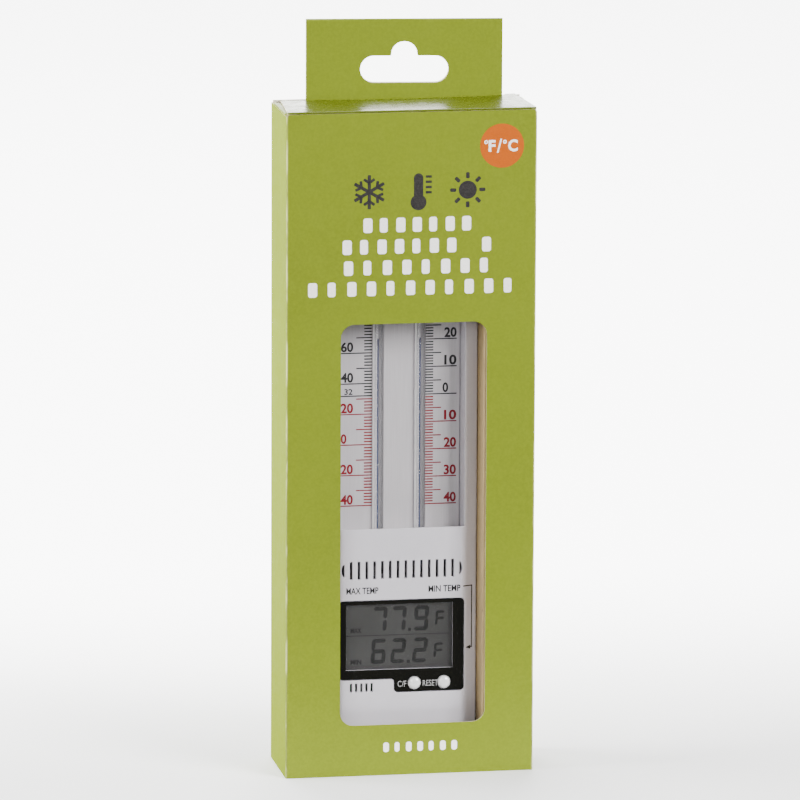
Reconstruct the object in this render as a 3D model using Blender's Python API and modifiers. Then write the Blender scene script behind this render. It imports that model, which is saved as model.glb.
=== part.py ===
"""Boxed maximum minimum thermometer.

A two-tube thermometer with a digital maximum and minimum display stands in a window
carton with a hang tab. X runs to the right, Y into the carton and Z up, in metres. The
carton stands on Z = 0 and its middle is at X = Y = 0.
"""

from math import cos, pi, radians, sin, tan

import bmesh
import bpy
from mathutils import Matrix, Vector

GAP = 0.0003                      # between pieces that touch
REACH = 0.001                     # how far a cutter runs past what it cuts
ARC_STEPS = 4
ROUND_STEPS = 16

# Carton
CARTON_WIDTH = 0.091
CARTON_DEPTH = 0.035
CARTON_HEIGHT = 0.244
BOARD = 0.0005
CREASE_RADIUS = 0.0006
WINDOW_WIDTH = 0.0532
WINDOW_HEIGHT = 0.1477
WINDOW_SILL = 0.0188
WINDOW_OFFSET = 0.001
WINDOW_RADIUS = 0.0048
HANG_TAB_WIDTH = 0.072
HANG_TAB_HEIGHT = 0.029
HANG_TAB_OFFSET = 0.003
HANG_TAB_RADIUS = 0.003
HANG_TAB_LAYERS = 2
HANG_SLOT_WIDTH = 0.0324
HANG_SLOT_HEIGHT = 0.0099
HANG_SLOT_BUMP_WIDTH = 0.0096
HANG_SLOT_BUMP_RISE = 0.0052
HANG_SLOT_RISE = 0.01055         # middle of the slot above the tab's foot
LID_SIDE_INSET = 0.0016           # how much narrower the lid is at its free edge
LID_EAR_OVERHANG = 0.0002         # the ears stop this far inside the back panel's face
LID_TAB_CLEARANCE = 0.0011
TUCK_LENGTH = 0.0112
TUCK_END_CLEARANCE = 0.0008
TUCK_RADIUS = 0.006
FLAP_CLEARANCE = 0.00075          # between a dust flap's tip and the thermometer's path
FLAP_FRONT_SETBACK = 0.0015
FLAP_TAPER = 0.7
FLAP_BACK_SETBACK = 0.0055
HINGE_OFFSET = 0.0001             # a crease's axis lies this far outside the board

# Insert that centres the thermometer
INSERT_CLEARANCE = 0.0011
INSERT_HEADROOM = 0.0012

# Thermometer case
CASE_WIDTH = 0.056
CASE_LENGTH = 0.199
CASE_THICKNESS = 0.022
CASE_OFFSET = -0.0015             # its middle, right of the carton's
BACK_SPACE = 0.004                # from the case's back to the carton's back face
CASE_WALL = 0.0016
CASE_SPLIT = 0.0145               # depth of the front shell
SHOULDER_WIDTH = 0.006
SHOULDER_DROP = 0.0024
SHOULDER_RADIUS = 0.004
CASE_EDGE_RADIUS = 0.0012
CASE_BACK_RADIUS = 0.0015
CASE_END_BEVEL = 0.0012

# Scale recess, plate and tubes
RECESS_HALF_WIDTH = 0.0227
RECESS_DRAFT = 0.03               # widening per unit of depth
RECESS_BOTTOM = 0.0886            # at its front edge
RECESS_LIP = 0.0006               # depth of the front edge's land
RECESS_UNDERCUT = 0.0026          # how much lower the foot lies at the floor
RECESS_TOP_LAND = 0.009
RECESS_DEPTH = 0.0094
RECESS_FLOOR = 0.0018
PLATE_THICKNESS = 0.0006
PLATE_SIDE_CLEARANCE = 0.0004
TUBE_SPACING = 0.0154
TUBE_RADIUS = 0.0019
TUBE_BORE = 0.0006
TUBE_SINK = 0.0003                # tube axis in front of the plate's face
TUBE_CLEARANCE = 0.0003
TUBE_TOP_SPACE = 0.0035
BULB_RADIUS = 0.0026
BULB_BOTTOM = 0.0695
BULB_LENGTH = 0.0095
BULB_WALL = 0.0007
THREAD_RADIUS = 0.0003
THREAD_TOP = 0.1572               # the stored reading
BRIDGE_HEIGHT = 0.004
BRIDGE_THICKNESS = 0.001
BRIDGE_TOP_SPACE = 0.008
BRIDGE_OVERHANG = 0.0018

# Ventilation slots
VENT_COUNT = 14
VENT_PITCH = 0.00287
VENT_WIDTH = 0.001
VENT_HEIGHT = 0.0066
VENT_CENTRE = 0.0734
VENT_END_RADIUS = 0.0024
VENT_END_WIDTH = 0.0011
VENT_END_OFFSET = 0.0211
SMALL_VENT_COUNT = 5
SMALL_VENT_PITCH = 0.0019
SMALL_VENT_WIDTH = 0.0008
SMALL_VENT_HEIGHT = 0.0032
SMALL_VENT_CENTRE = (-0.0148, 0.0299)

# Display
MASK_HALF_WIDTH = 0.0228
MASK_BOTTOM = 0.033
MASK_TOP = 0.062
MASK_TAB_LEFT = -0.0026
MASK_TAB_BOTTOM = 0.028
MASK_RADIUS = 0.0012
MASK_THICKNESS = 0.0006
VIEW_LEFT = -0.0205
VIEW_RIGHT = 0.0189
VIEW_BOTTOM = 0.0363
VIEW_TOP = 0.0608
LENS_THICKNESS = 0.0012
GLASS_MARGIN = 0.0013
GLASS_THICKNESS = 0.0024
ZEBRA_HEIGHT = 0.0022
ZEBRA_DEPTH = 0.0016

# Buttons
BUTTON_HEIGHT = 0.0311            # of their axes above the case's foot
UNIT_BUTTON_X = 0.0047
RESET_BUTTON_X = 0.0156
BUTTON_RADIUS = 0.00235
BUTTON_CLEARANCE = 0.0003
BUTTON_RISE = 0.0011
BUTTON_FLANGE_RADIUS = 0.003
BUTTON_FLANGE_THICKNESS = 0.0008
BUTTON_STEM_RADIUS = 0.0012
BUTTON_TRAVEL = 0.0006
SWITCH_RADIUS = 0.0024
SWITCH_HEIGHT = 0.0009

# Circuit board and what it carries
BOARD_HALF_WIDTH = 0.024
PCB_BOTTOM = 0.0162
PCB_TOP = 0.0652
PCB_THICKNESS = 0.0014
CHIP_RADIUS = 0.0048
CHIP_HEIGHT = 0.0013
CHIP_SPOT = (-0.0145, 0.0625)
SENSOR_RADIUS = 0.0009
SENSOR_LENGTH = 0.0032
SENSOR_X = 0.012
PCB_SCREW_X = 0.021
PCB_SCREW_Z = 0.0192

# Battery bay and cover
CELL_RADIUS = 0.01
CELL_THICKNESS = 0.0032
CELL_CLEARANCE = 0.0006
BAY_HEIGHT = 0.0432
BAY_FLOOR = 0.0012
BAY_WALL = 0.0012
COVER_MARGIN = 0.0025             # how far the cover reaches past the cell
COVER_CLEARANCE = 0.0003
COVER_THICKNESS = 0.0026
COVER_CELL_SPACE = 0.0005
LUG_REACH = 0.0015
LUG_WIDTH = 0.005
LUG_THICKNESS = 0.0007
LUG_TURN = radians(45)            # from locked to the notches in the case
COIN_SLOT_LENGTH = 0.016
COIN_SLOT_WIDTH = 0.0022
COIN_SLOT_DEPTH = 0.0012
CONTACT_THICKNESS = 0.0003
CONTACT_WIDTH = 0.004
CONTACT_SLOT_CLEARANCE = 0.0004
NEGATIVE_LEG_X = 0.006

# Fasteners
SCREW_RADIUS = 0.001
SCREW_HEAD_RADIUS = 0.0021
SCREW_HEAD_HEIGHT = 0.0015
SCREW_CLEARANCE = 0.0003
SCREW_SEAT = 0.004                # depth of the counterbore in the back shell
SCREW_BITE = 0.0075
BOSS_WALL = 0.0014
LOWER_SCREW_X = 0.0232
LOWER_SCREW_Z = 0.0078
UPPER_SCREW_X = 0.02
UPPER_SCREW_SPACE = 0.0046
PCB_SCREW_RADIUS = 0.0008
PCB_SCREW_HEAD_RADIUS = 0.0019
PCB_SCREW_HEAD_HEIGHT = 0.0011
PCB_SCREW_BITE = 0.0028
KEYHOLE_RADIUS = 0.0036
KEYHOLE_SLOT_RADIUS = 0.0018
KEYHOLE_RISE = 0.0066
KEYHOLE_TOP_SPACE = 0.0175

# Values worked out from the above
FRONT = -CARTON_DEPTH / 2
BACK = CARTON_DEPTH / 2
LID_UNDERSIDE = CARTON_HEIGHT - BOARD
FRONT_PANEL_TOP = LID_UNDERSIDE - GAP
FLAP_UNDERSIDE = FRONT_PANEL_TOP - BOARD
SIDE_PANEL_TOP = FLAP_UNDERSIDE - GAP
TAB_FRONT = BACK - HANG_TAB_LAYERS * BOARD
TAB_LEFT = HANG_TAB_OFFSET - HANG_TAB_WIDTH / 2
TAB_RIGHT = HANG_TAB_OFFSET + HANG_TAB_WIDTH / 2
TAB_TOP = LID_UNDERSIDE + HANG_TAB_HEIGHT
LID_BACK = TAB_FRONT - LID_TAB_CLEARANCE
CASE_BOTTOM = BOARD + GAP
CASE_FRONT = BACK - BACK_SPACE - CASE_THICKNESS
RECESS_TOP = CASE_LENGTH - RECESS_TOP_LAND
COVER_RADIUS = CELL_RADIUS + COVER_MARGIN
PLATE_FACE = RECESS_DEPTH - GAP - PLATE_THICKNESS
TUBE_DEPTH = PLATE_FACE - TUBE_SINK
TUBE_TOP = RECESS_TOP - TUBE_TOP_SPACE
MASK_FLOOR = MASK_THICKNESS + GAP
LENS_BACK = CASE_WALL - GAP / 3
GLASS_FACE = CASE_WALL + GAP
GLASS_BACK = GLASS_FACE + GLASS_THICKNESS
ZEBRA_FACE = GLASS_BACK + GAP
PCB_FACE = ZEBRA_FACE + ZEBRA_DEPTH + GAP
PCB_BACK = PCB_FACE + PCB_THICKNESS
SWITCH_FACE = PCB_FACE - GAP - SWITCH_HEIGHT
BACK_SHELL_FACE = CASE_SPLIT + GAP
BACK_WALL = CASE_THICKNESS - CASE_WALL
COVER_FACE = CASE_THICKNESS - COVER_THICKNESS
CELL_BACK = COVER_FACE - COVER_CELL_SPACE
CELL_FACE = CELL_BACK - CELL_THICKNESS
NEGATIVE_FACE = CELL_FACE - GAP - CONTACT_THICKNESS
BAY_FLOOR_BACK = NEGATIVE_FACE - GAP
LUG_CAVITY_FACE = COVER_FACE - GAP
POSITIVE_X = -(CELL_RADIUS + CELL_CLEARANCE / 2)
SCREW_SEAT_DEPTH = CASE_THICKNESS - SCREW_SEAT
UPPER_SCREW_Z = CASE_LENGTH - UPPER_SCREW_SPACE
KEYHOLE_Z = CASE_LENGTH - KEYHOLE_TOP_SPACE

MATERIALS = {
    "printed_board": ((0.33, 0.36, 0.05, 1.0), 0.5, 0.0),
    "lid_board": ((0.70, 0.68, 0.37, 1.0), 0.5, 0.0),
    "kraft_board": ((0.37, 0.28, 0.15, 1.0), 0.85, 0.0),
    "case_plastic": ((0.57, 0.56, 0.57, 1.0), 0.4, 0.0),
    "scale_plate": ((0.50, 0.49, 0.50, 1.0), 0.35, 0.2),
    "tube_glass": ((0.92, 0.95, 0.95, 0.35), 0.03, 0.0),
    "spirit": ((0.04, 0.06, 0.16, 1.0), 0.2, 0.0),
    "black_print": ((0.01, 0.01, 0.01, 1.0), 0.25, 0.0),
    "clear_lens": ((0.85, 0.87, 0.87, 0.35), 0.05, 0.0),
    "display_glass": ((0.15, 0.15, 0.14, 1.0), 0.15, 0.0),
    "zebra_rubber": ((0.25, 0.06, 0.06, 1.0), 0.8, 0.0),
    "circuit_board": ((0.03, 0.16, 0.07, 1.0), 0.45, 0.0),
    "epoxy": ((0.01, 0.01, 0.01, 1.0), 0.3, 0.0),
    "button_plastic": ((0.62, 0.62, 0.62, 1.0), 0.3, 0.0),
    "steel": ((0.55, 0.55, 0.56, 1.0), 0.3, 1.0),
}


def add_material(name):
    """Make one Principled material from the table."""
    colour, roughness, metallic = MATERIALS[name]
    material = bpy.data.materials.new(name)
    material.use_nodes = True
    shader = material.node_tree.nodes["Principled BSDF"]
    shader.inputs["Base Color"].default_value = colour
    shader.inputs["Roughness"].default_value = roughness
    shader.inputs["Metallic"].default_value = metallic
    shader.inputs["Alpha"].default_value = colour[3]
    return material


def add_object(name, mesh, group, location=(0, 0, 0), rotation=(0, 0, 0)):
    """Put a mesh in a group as an object of its own."""
    piece = bpy.data.objects.new(name, mesh)
    piece.location = location
    piece.rotation_euler = rotation
    group.objects.link(piece)
    return piece


def box(name, group, low, high):
    """A box between two corners, with its origin in its middle."""
    low, high = Vector(low), Vector(high)
    mesh = bpy.data.meshes.new(name)
    shape = bmesh.new()
    bmesh.ops.create_cube(shape, size=1.0, matrix=Matrix.Diagonal((*(high - low), 1.0)))
    shape.to_mesh(mesh)
    shape.free()
    return add_object(name, mesh, group, (low + high) / 2)


def rod(name, group, radius, start, end, steps=ROUND_STEPS):
    """A straight round bar between two points."""
    start, end = Vector(start), Vector(end)
    mesh = bpy.data.meshes.new(name)
    shape = bmesh.new()
    bmesh.ops.create_cone(shape, cap_ends=True, segments=steps, radius1=radius,
                          radius2=radius, depth=(end - start).length)
    shape.to_mesh(mesh)
    shape.free()
    turn = (end - start).to_track_quat("Z", "Y").to_euler()
    return add_object(name, mesh, group, (start + end) / 2, turn)


def turned(name, group, profile, location, rotation=(0, 0, 0), steps=ROUND_STEPS):
    """A profile of (radius, height) points turned once round its own Z axis."""
    mesh = bpy.data.meshes.new(name)
    shape = bmesh.new()
    points = [shape.verts.new((radius, 0, height)) for radius, height in profile]
    for first, second in zip(points, points[1:]):
        shape.edges.new((first, second))
    shape.to_mesh(mesh)
    shape.free()
    piece = add_object(name, mesh, group, location, rotation)
    screw = piece.modifiers.new("turn", "SCREW")
    screw.axis = "Z"
    screw.steps = steps
    screw.render_steps = steps
    screw.use_merge_vertices = True
    screw.merge_threshold = 0.00001
    screw.use_normal_flip = True
    return piece


def rounded(corners):
    """Points of an outline whose (x, y, radius) corners are rounded with arcs."""
    points = []
    for index, (x, y, radius) in enumerate(corners):
        corner = Vector((x, y))
        if radius == 0:
            points.append(corner)
            continue
        before = (Vector(corners[index - 1][:2]) - corner).normalized()
        after = (Vector(corners[(index + 1) % len(corners)][:2]) - corner).normalized()
        half = before.angle(after) / 2
        centre = corner + (before + after).normalized() * radius / sin(half)
        first = (corner + before * radius / tan(half) - centre).normalized()
        last = (corner + after * radius / tan(half) - centre).normalized()
        for step in range(ARC_STEPS + 1):
            points.append(centre + first.slerp(last, step / ARC_STEPS) * radius)
    return points


def rectangle(left, right, bottom, top, radius=0.0):
    """Outline of a rectangle with equal corners."""
    return rounded([(left, bottom, radius), (right, bottom, radius),
                    (right, top, radius), (left, top, radius)])


def slab(name, group, points, thickness, location=(0, 0, 0), rotation=(0, 0, 0)):
    """A flat outline extruded by half its thickness to each side of its plane."""
    curve = bpy.data.curves.new(name, "CURVE")
    curve.dimensions = "2D"
    curve.fill_mode = "BOTH"
    curve.extrude = thickness / 2
    spline = curve.splines.new("POLY")
    spline.points.add(len(points) - 1)
    for target, (x, y) in zip(spline.points, points):
        target.co = (x, y, 0, 1)
    spline.use_cyclic_u = True
    outline = add_object(name, curve, group, location, rotation)
    state = bpy.context.evaluated_depsgraph_get()
    mesh = bpy.data.meshes.new_from_object(outline.evaluated_get(state))
    bpy.data.objects.remove(outline)
    shape = bmesh.new()
    shape.from_mesh(mesh)
    bmesh.ops.remove_doubles(shape, verts=shape.verts, dist=0.000001)
    shape.to_mesh(mesh)
    shape.free()
    mesh.name = name
    return add_object(name, mesh, group, location, rotation)


def upright_slab(name, group, points, front, back):
    """A slab whose outline is in X and Z, between two Y planes."""
    return slab(name, group, points, back - front, (0, (front + back) / 2, 0), (pi / 2, 0, 0))


def level_slab(name, group, points, bottom, top):
    """A slab whose outline is in X and Y, between two Z planes."""
    return slab(name, group, points, top - bottom, (0, 0, (bottom + top) / 2))


def combine(piece, other, operation="DIFFERENCE"):
    """Cut or join a second solid with an exact boolean."""
    boolean = piece.modifiers.new(operation.lower(), "BOOLEAN")
    boolean.operation = operation
    boolean.solver = "EXACT"
    boolean.object = other


def repeat(piece, count, pitch):
    """Repeat a cutter along X."""
    array = piece.modifiers.new("repeat", "ARRAY")
    array.count = count
    array.use_relative_offset = False
    array.use_constant_offset = True
    array.constant_offset_displace = (pitch, 0, 0)


def set_origin(piece, point):
    """Move a piece's origin onto its joint's axis and leave the piece where it is."""
    shift = piece.matrix_basis.inverted() @ Vector(point)
    piece.data.transform(Matrix.Translation(-shift))
    piece.location = point


def spot(x, depth, height):
    """World point of a place on the thermometer.

    X is counted from the middle of the case, depth from its front face and height from
    its foot.
    """
    return Vector((CASE_OFFSET + x, CASE_FRONT + depth, CASE_BOTTOM + height))


def case_box(name, group, low, high):
    """A box given in the case's own places."""
    return box(name, group, spot(*low), spot(*high))


def case_slab(name, group, points, front, back):
    """A slab with an outline in X and height, given in the case's own places."""
    moved = [(x + CASE_OFFSET, z + CASE_BOTTOM) for x, z in points]
    return upright_slab(name, group, moved, CASE_FRONT + front, CASE_FRONT + back)


def case_rod(name, group, radius, x, height, front, back, steps=ROUND_STEPS):
    """A round bar along the depth of the case."""
    return rod(name, group, radius, spot(x, front, height), spot(x, back, height), steps)


def case_turned(name, group, profile, x, height, steps=ROUND_STEPS):
    """A piece turned round an axis along the depth, with heights counted as depths."""
    return turned(name, group, profile, spot(x, 0, height), (-pi / 2, 0, 0), steps)


# --- carton ---------------------------------------------------------------------------

def make_sleeve(parts, cutters):
    """The four walls of the carton, with the window in the front one."""
    half_width, half_depth = CARTON_WIDTH / 2, CARTON_DEPTH / 2
    outer = rectangle(-half_width, half_width, -half_depth, half_depth, CREASE_RADIUS)
    sleeve = level_slab("carton_sleeve", parts, outer, 0, FRONT_PANEL_TOP)
    inner = rectangle(BOARD - half_width, half_width - BOARD, BOARD - half_depth,
                      half_depth - BOARD)
    hollow = level_slab("sleeve_hollow", cutters, inner, -REACH, CARTON_HEIGHT)
    combine(sleeve, hollow)
    window = rectangle(WINDOW_OFFSET - WINDOW_WIDTH / 2, WINDOW_OFFSET + WINDOW_WIDTH / 2,
                       WINDOW_SILL, WINDOW_SILL + WINDOW_HEIGHT, WINDOW_RADIUS)
    combine(sleeve, upright_slab("window_cut", cutters, window, FRONT - REACH,
                                 FRONT + BOARD + REACH))
    for side, name in ((-1, "left_top_cut"), (1, "right_top_cut")):
        inside = side * (half_width - BOARD - REACH)
        outside = side * (half_width + REACH)
        combine(sleeve, box(name, cutters,
                            (min(inside, outside), FRONT + BOARD, SIDE_PANEL_TOP),
                            (max(inside, outside), BACK - BOARD, CARTON_HEIGHT)))
    return sleeve


def make_bottom(parts):
    """The glued bottom panel."""
    half_width = CARTON_WIDTH / 2 - BOARD - GAP
    half_depth = CARTON_DEPTH / 2 - BOARD - GAP
    return box("carton_bottom", parts, (-half_width, -half_depth, 0),
               (half_width, half_depth, BOARD))


def make_hang_tab(parts, cutters):
    """The folded tab with its hanging slot."""
    tab = upright_slab("hang_tab", parts, rounded([
        (TAB_LEFT, LID_UNDERSIDE, 0), (TAB_RIGHT, LID_UNDERSIDE, 0),
        (TAB_RIGHT, TAB_TOP, HANG_TAB_RADIUS), (TAB_LEFT, TAB_TOP, HANG_TAB_RADIUS)]),
        TAB_FRONT, BACK)
    middle = LID_UNDERSIDE + HANG_SLOT_RISE
    half_width, half_height = HANG_SLOT_WIDTH / 2, HANG_SLOT_HEIGHT / 2
    bump_half, bump_top = HANG_SLOT_BUMP_WIDTH / 2, middle + half_height + HANG_SLOT_BUMP_RISE
    band_top = middle + half_height
    end_radius = half_height * 0.98
    slot = [(-half_width, middle - half_height, end_radius),
            (half_width, middle - half_height, end_radius),
            (half_width, band_top, end_radius),
            (bump_half, band_top, HANG_SLOT_BUMP_RISE / 4),
            (bump_half, bump_top, HANG_SLOT_BUMP_RISE / 2),
            (-bump_half, bump_top, HANG_SLOT_BUMP_RISE / 2),
            (-bump_half, band_top, HANG_SLOT_BUMP_RISE / 4),
            (-half_width, band_top, end_radius)]
    outline = rounded([(x + HANG_TAB_OFFSET, z, radius) for x, z, radius in slot])
    combine(tab, upright_slab("hang_slot_cut", cutters, outline, TAB_FRONT - REACH,
                              BACK + REACH))
    return tab


def make_insert(parts):
    """A folded board channel that keeps the thermometer off the side walls."""
    inside = CASE_WIDTH / 2 + INSERT_CLEARANCE
    outside = inside + BOARD
    left, right = CASE_OFFSET - inside, CASE_OFFSET + inside
    far_left, far_right = CASE_OFFSET - outside, CASE_OFFSET + outside
    edge = CARTON_WIDTH / 2 - BOARD - GAP
    face = FRONT + BOARD + GAP
    web = BACK - BACK_SPACE + GAP
    outline = [(-edge, face), (left, face), (left, web), (right, web), (right, face),
               (edge, face), (edge, face + BOARD), (far_right, face + BOARD),
               (far_right, web + BOARD), (far_left, web + BOARD),
               (far_left, face + BOARD), (-edge, face + BOARD)]
    return level_slab("carton_insert", parts, outline, CASE_BOTTOM,
                      CASE_BOTTOM + CASE_LENGTH + INSERT_HEADROOM)


def make_lid(parts):
    """The lid, creased along the front and notched round the hang tab."""
    half_front = CARTON_WIDTH / 2 - GAP
    half_back = CARTON_WIDTH / 2 - LID_SIDE_INSET
    ear_back = BACK - LID_EAR_OVERHANG
    outline = [(-half_front, FRONT), (half_front, FRONT), (half_back, ear_back),
               (TAB_RIGHT + GAP, ear_back), (TAB_RIGHT + GAP, LID_BACK),
               (TAB_LEFT - GAP, LID_BACK), (TAB_LEFT - GAP, ear_back),
               (-half_back, ear_back)]
    lid = level_slab("carton_lid", parts, outline, LID_UNDERSIDE, CARTON_HEIGHT)
    set_origin(lid, (0, FRONT - HINGE_OFFSET, CARTON_HEIGHT - HINGE_OFFSET))
    return lid


def make_tuck_flap(parts):
    """The lid's tuck flap, which goes down inside the back panel."""
    top = LID_UNDERSIDE - GAP
    foot = top - TUCK_LENGTH
    left, right = TAB_LEFT + TUCK_END_CLEARANCE, TAB_RIGHT - TUCK_END_CLEARANCE
    outline = rounded([(left, foot, TUCK_RADIUS), (right, foot, TUCK_RADIUS),
                       (right, top, 0), (left, top, 0)])
    flap = upright_slab("lid_tuck_flap", parts, outline, LID_BACK - BOARD, LID_BACK)
    set_origin(flap, (HANG_TAB_OFFSET, LID_BACK - BOARD - HINGE_OFFSET / 2, top))
    return flap


def make_dust_flap(parts, name, side):
    """A side flap, tapered towards the lid's crease."""
    crease = side * (CARTON_WIDTH / 2 - HINGE_OFFSET)
    path_edge = CASE_OFFSET + side * CASE_WIDTH / 2
    length = abs(crease - path_edge) - FLAP_CLEARANCE
    tip = crease - side * length
    front = FRONT + FLAP_FRONT_SETBACK
    outline = [(crease, front), (tip, front + FLAP_TAPER * length),
               (tip, BACK - FLAP_BACK_SETBACK), (crease, BACK - FLAP_BACK_SETBACK)]
    flap = level_slab(name, parts, outline, FLAP_UNDERSIDE, FRONT_PANEL_TOP)
    set_origin(flap, (side * (CARTON_WIDTH / 2 + HINGE_OFFSET / 2), 0,
                      FRONT_PANEL_TOP - HINGE_OFFSET))
    return flap


# --- thermometer case ------------------------------------------------------------------

def front_profile(inset, back):
    """Half-and-half outline of the front shell in X and depth, shrunk by a wall."""
    side = CASE_WIDTH / 2 - inset
    flat = CASE_WIDTH / 2 - SHOULDER_WIDTH - inset * 0.2
    corners = [(side, back, 0), (-side, back, 0),
               (-side, SHOULDER_DROP + inset, CASE_EDGE_RADIUS),
               (-flat, inset, SHOULDER_RADIUS),
               (flat, inset, SHOULDER_RADIUS),
               (side, SHOULDER_DROP + inset, CASE_EDGE_RADIUS)]
    return [(x + CASE_OFFSET, y + CASE_FRONT) for x, y in rounded(corners)]


def back_profile(inset, front):
    """Outline of the back shell in X and depth, shrunk by a wall."""
    side = CASE_WIDTH / 2 - inset
    back = CASE_THICKNESS - inset
    corners = [(-side, front, 0), (side, front, 0), (side, back, CASE_BACK_RADIUS),
               (-side, back, CASE_BACK_RADIUS)]
    return [(x + CASE_OFFSET, y + CASE_FRONT) for x, y in rounded(corners)]


def recess_outline(grow, floor):
    """Outline of the scale recess in X and depth, widened by a wall."""
    deep = RECESS_HALF_WIDTH + grow
    shallow = deep + RECESS_DRAFT * (floor + REACH)
    corners = [(-shallow, -REACH), (shallow, -REACH), (deep, floor), (-deep, floor)]
    return [(x + CASE_OFFSET, y + CASE_FRONT) for x, y in corners]


def foot_drop(depth):
    """How far the recess's foot lies below its front edge at a depth."""
    return RECESS_UNDERCUT * (depth - RECESS_LIP) / (RECESS_DEPTH - RECESS_LIP)


def recess_foot(name, group, grow, floor):
    """The wedge of the recess that runs down behind its front edge, grown by a wall."""
    foot = CASE_BOTTOM + RECESS_BOTTOM - grow
    points = [(CASE_FRONT, foot - foot_drop(0)), (CASE_FRONT + floor, foot - foot_drop(floor)),
              (CASE_FRONT + floor, foot + grow + REACH), (CASE_FRONT, foot + grow + REACH)]
    return slab(name, group, points, 2 * (RECESS_HALF_WIDTH + grow), (CASE_OFFSET, 0, 0),
                (pi / 2, 0, pi / 2))


def mask_outline(grow):
    """Outline of the display mask in X and height, with the tab for the buttons."""
    left, right = -MASK_HALF_WIDTH - grow, MASK_HALF_WIDTH + grow
    radius = MASK_RADIUS + grow
    return rounded([(left, MASK_BOTTOM - grow, radius),
                    (MASK_TAB_LEFT - grow, MASK_BOTTOM - grow, MASK_RADIUS - grow),
                    (MASK_TAB_LEFT - grow, MASK_TAB_BOTTOM - grow, radius),
                    (right, MASK_TAB_BOTTOM - grow, radius),
                    (right, MASK_TOP + grow, radius), (left, MASK_TOP + grow, radius)])


def case_screw_spots():
    """Names and places of the four case screws."""
    return {
        "case_screw_lower_left": (-LOWER_SCREW_X, LOWER_SCREW_Z),
        "case_screw_lower_right": (LOWER_SCREW_X, LOWER_SCREW_Z),
        "case_screw_upper_left": (-UPPER_SCREW_X, UPPER_SCREW_Z),
        "case_screw_upper_right": (UPPER_SCREW_X, UPPER_SCREW_Z),
    }


def button_places():
    """Names and places of the two buttons."""
    return {"unit": UNIT_BUTTON_X, "reset": RESET_BUTTON_X}


def make_front_case(parts, cutters):
    """The front shell: rails, scale recess, vents and the display's opening."""
    top = CASE_BOTTOM + CASE_LENGTH
    shell = level_slab("front_case", parts, front_profile(0, CASE_SPLIT), CASE_BOTTOM, top)
    bevel = shell.modifiers.new("ends", "BEVEL")
    bevel.width = CASE_END_BEVEL
    bevel.segments = 2
    bevel.limit_method = "ANGLE"
    bevel.angle_limit = radians(60)
    inner = front_profile(CASE_WALL, CASE_SPLIT + REACH)
    hollow = level_slab("case_hollow", cutters, inner, CASE_BOTTOM + CASE_WALL,
                        top - CASE_WALL)
    core = level_slab("recess_core", cutters,
                      recess_outline(CASE_WALL, RECESS_DEPTH + RECESS_FLOOR),
                      CASE_BOTTOM + RECESS_BOTTOM - CASE_WALL,
                      CASE_BOTTOM + RECESS_TOP + CASE_WALL)
    combine(hollow, core)
    combine(hollow, recess_foot("foot_core", cutters, CASE_WALL,
                                RECESS_DEPTH + RECESS_FLOOR))
    combine(shell, hollow)
    boss_start = CASE_WALL / 2
    for name, (x, height) in case_screw_spots().items():
        boss = case_rod(f"{name}_boss", cutters, SCREW_RADIUS + SCREW_CLEARANCE + BOSS_WALL,
                        x, height, boss_start + SHOULDER_DROP / 2, CASE_SPLIT)
        combine(shell, boss, "UNION")
        combine(shell, case_rod(f"{name}_hole", cutters, SCREW_RADIUS + SCREW_CLEARANCE,
                                x, height, SCREW_SEAT_DEPTH - SCREW_BITE - 2 * REACH,
                                CASE_SPLIT + REACH))
    for side in (-1, 1):
        x = side * PCB_SCREW_X
        boss = case_rod(f"board_boss_{side}", cutters,
                        PCB_SCREW_RADIUS + SCREW_CLEARANCE + BOSS_WALL, x, PCB_SCREW_Z,
                        boss_start, PCB_FACE - GAP)
        combine(shell, boss, "UNION")
        combine(shell, case_rod(f"board_boss_hole_{side}", cutters,
                                PCB_SCREW_RADIUS + SCREW_CLEARANCE, x, PCB_SCREW_Z,
                                PCB_FACE - PCB_SCREW_BITE - REACH / 2, PCB_FACE))
    combine(shell, level_slab("recess_cut", cutters, recess_outline(0, RECESS_DEPTH),
                              CASE_BOTTOM + RECESS_BOTTOM, CASE_BOTTOM + RECESS_TOP))
    combine(shell, recess_foot("foot_cut", cutters, 0, RECESS_DEPTH))
    for side in (-1, 1):
        x = side * TUBE_SPACING / 2
        combine(shell, rod(f"tube_channel_{side}", cutters, TUBE_RADIUS + TUBE_CLEARANCE,
                           spot(x, TUBE_DEPTH, RECESS_BOTTOM - RECESS_UNDERCUT - 3 * CASE_WALL),
                           spot(x, TUBE_DEPTH, TUBE_TOP + TUBE_CLEARANCE)))
    combine(shell, case_slab("mask_recess", cutters, mask_outline(GAP), -REACH, MASK_FLOOR))
    combine(shell, case_box("view_cut", cutters, (VIEW_LEFT, 0, VIEW_BOTTOM),
                            (VIEW_RIGHT, CASE_WALL + REACH, VIEW_TOP)))
    for name, x in button_places().items():
        combine(shell, case_rod(f"{name}_button_hole", cutters,
                                BUTTON_RADIUS + BUTTON_CLEARANCE, x, BUTTON_HEIGHT,
                                -REACH, CASE_WALL + REACH))
    cut_vents(shell, cutters)
    return shell


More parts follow.
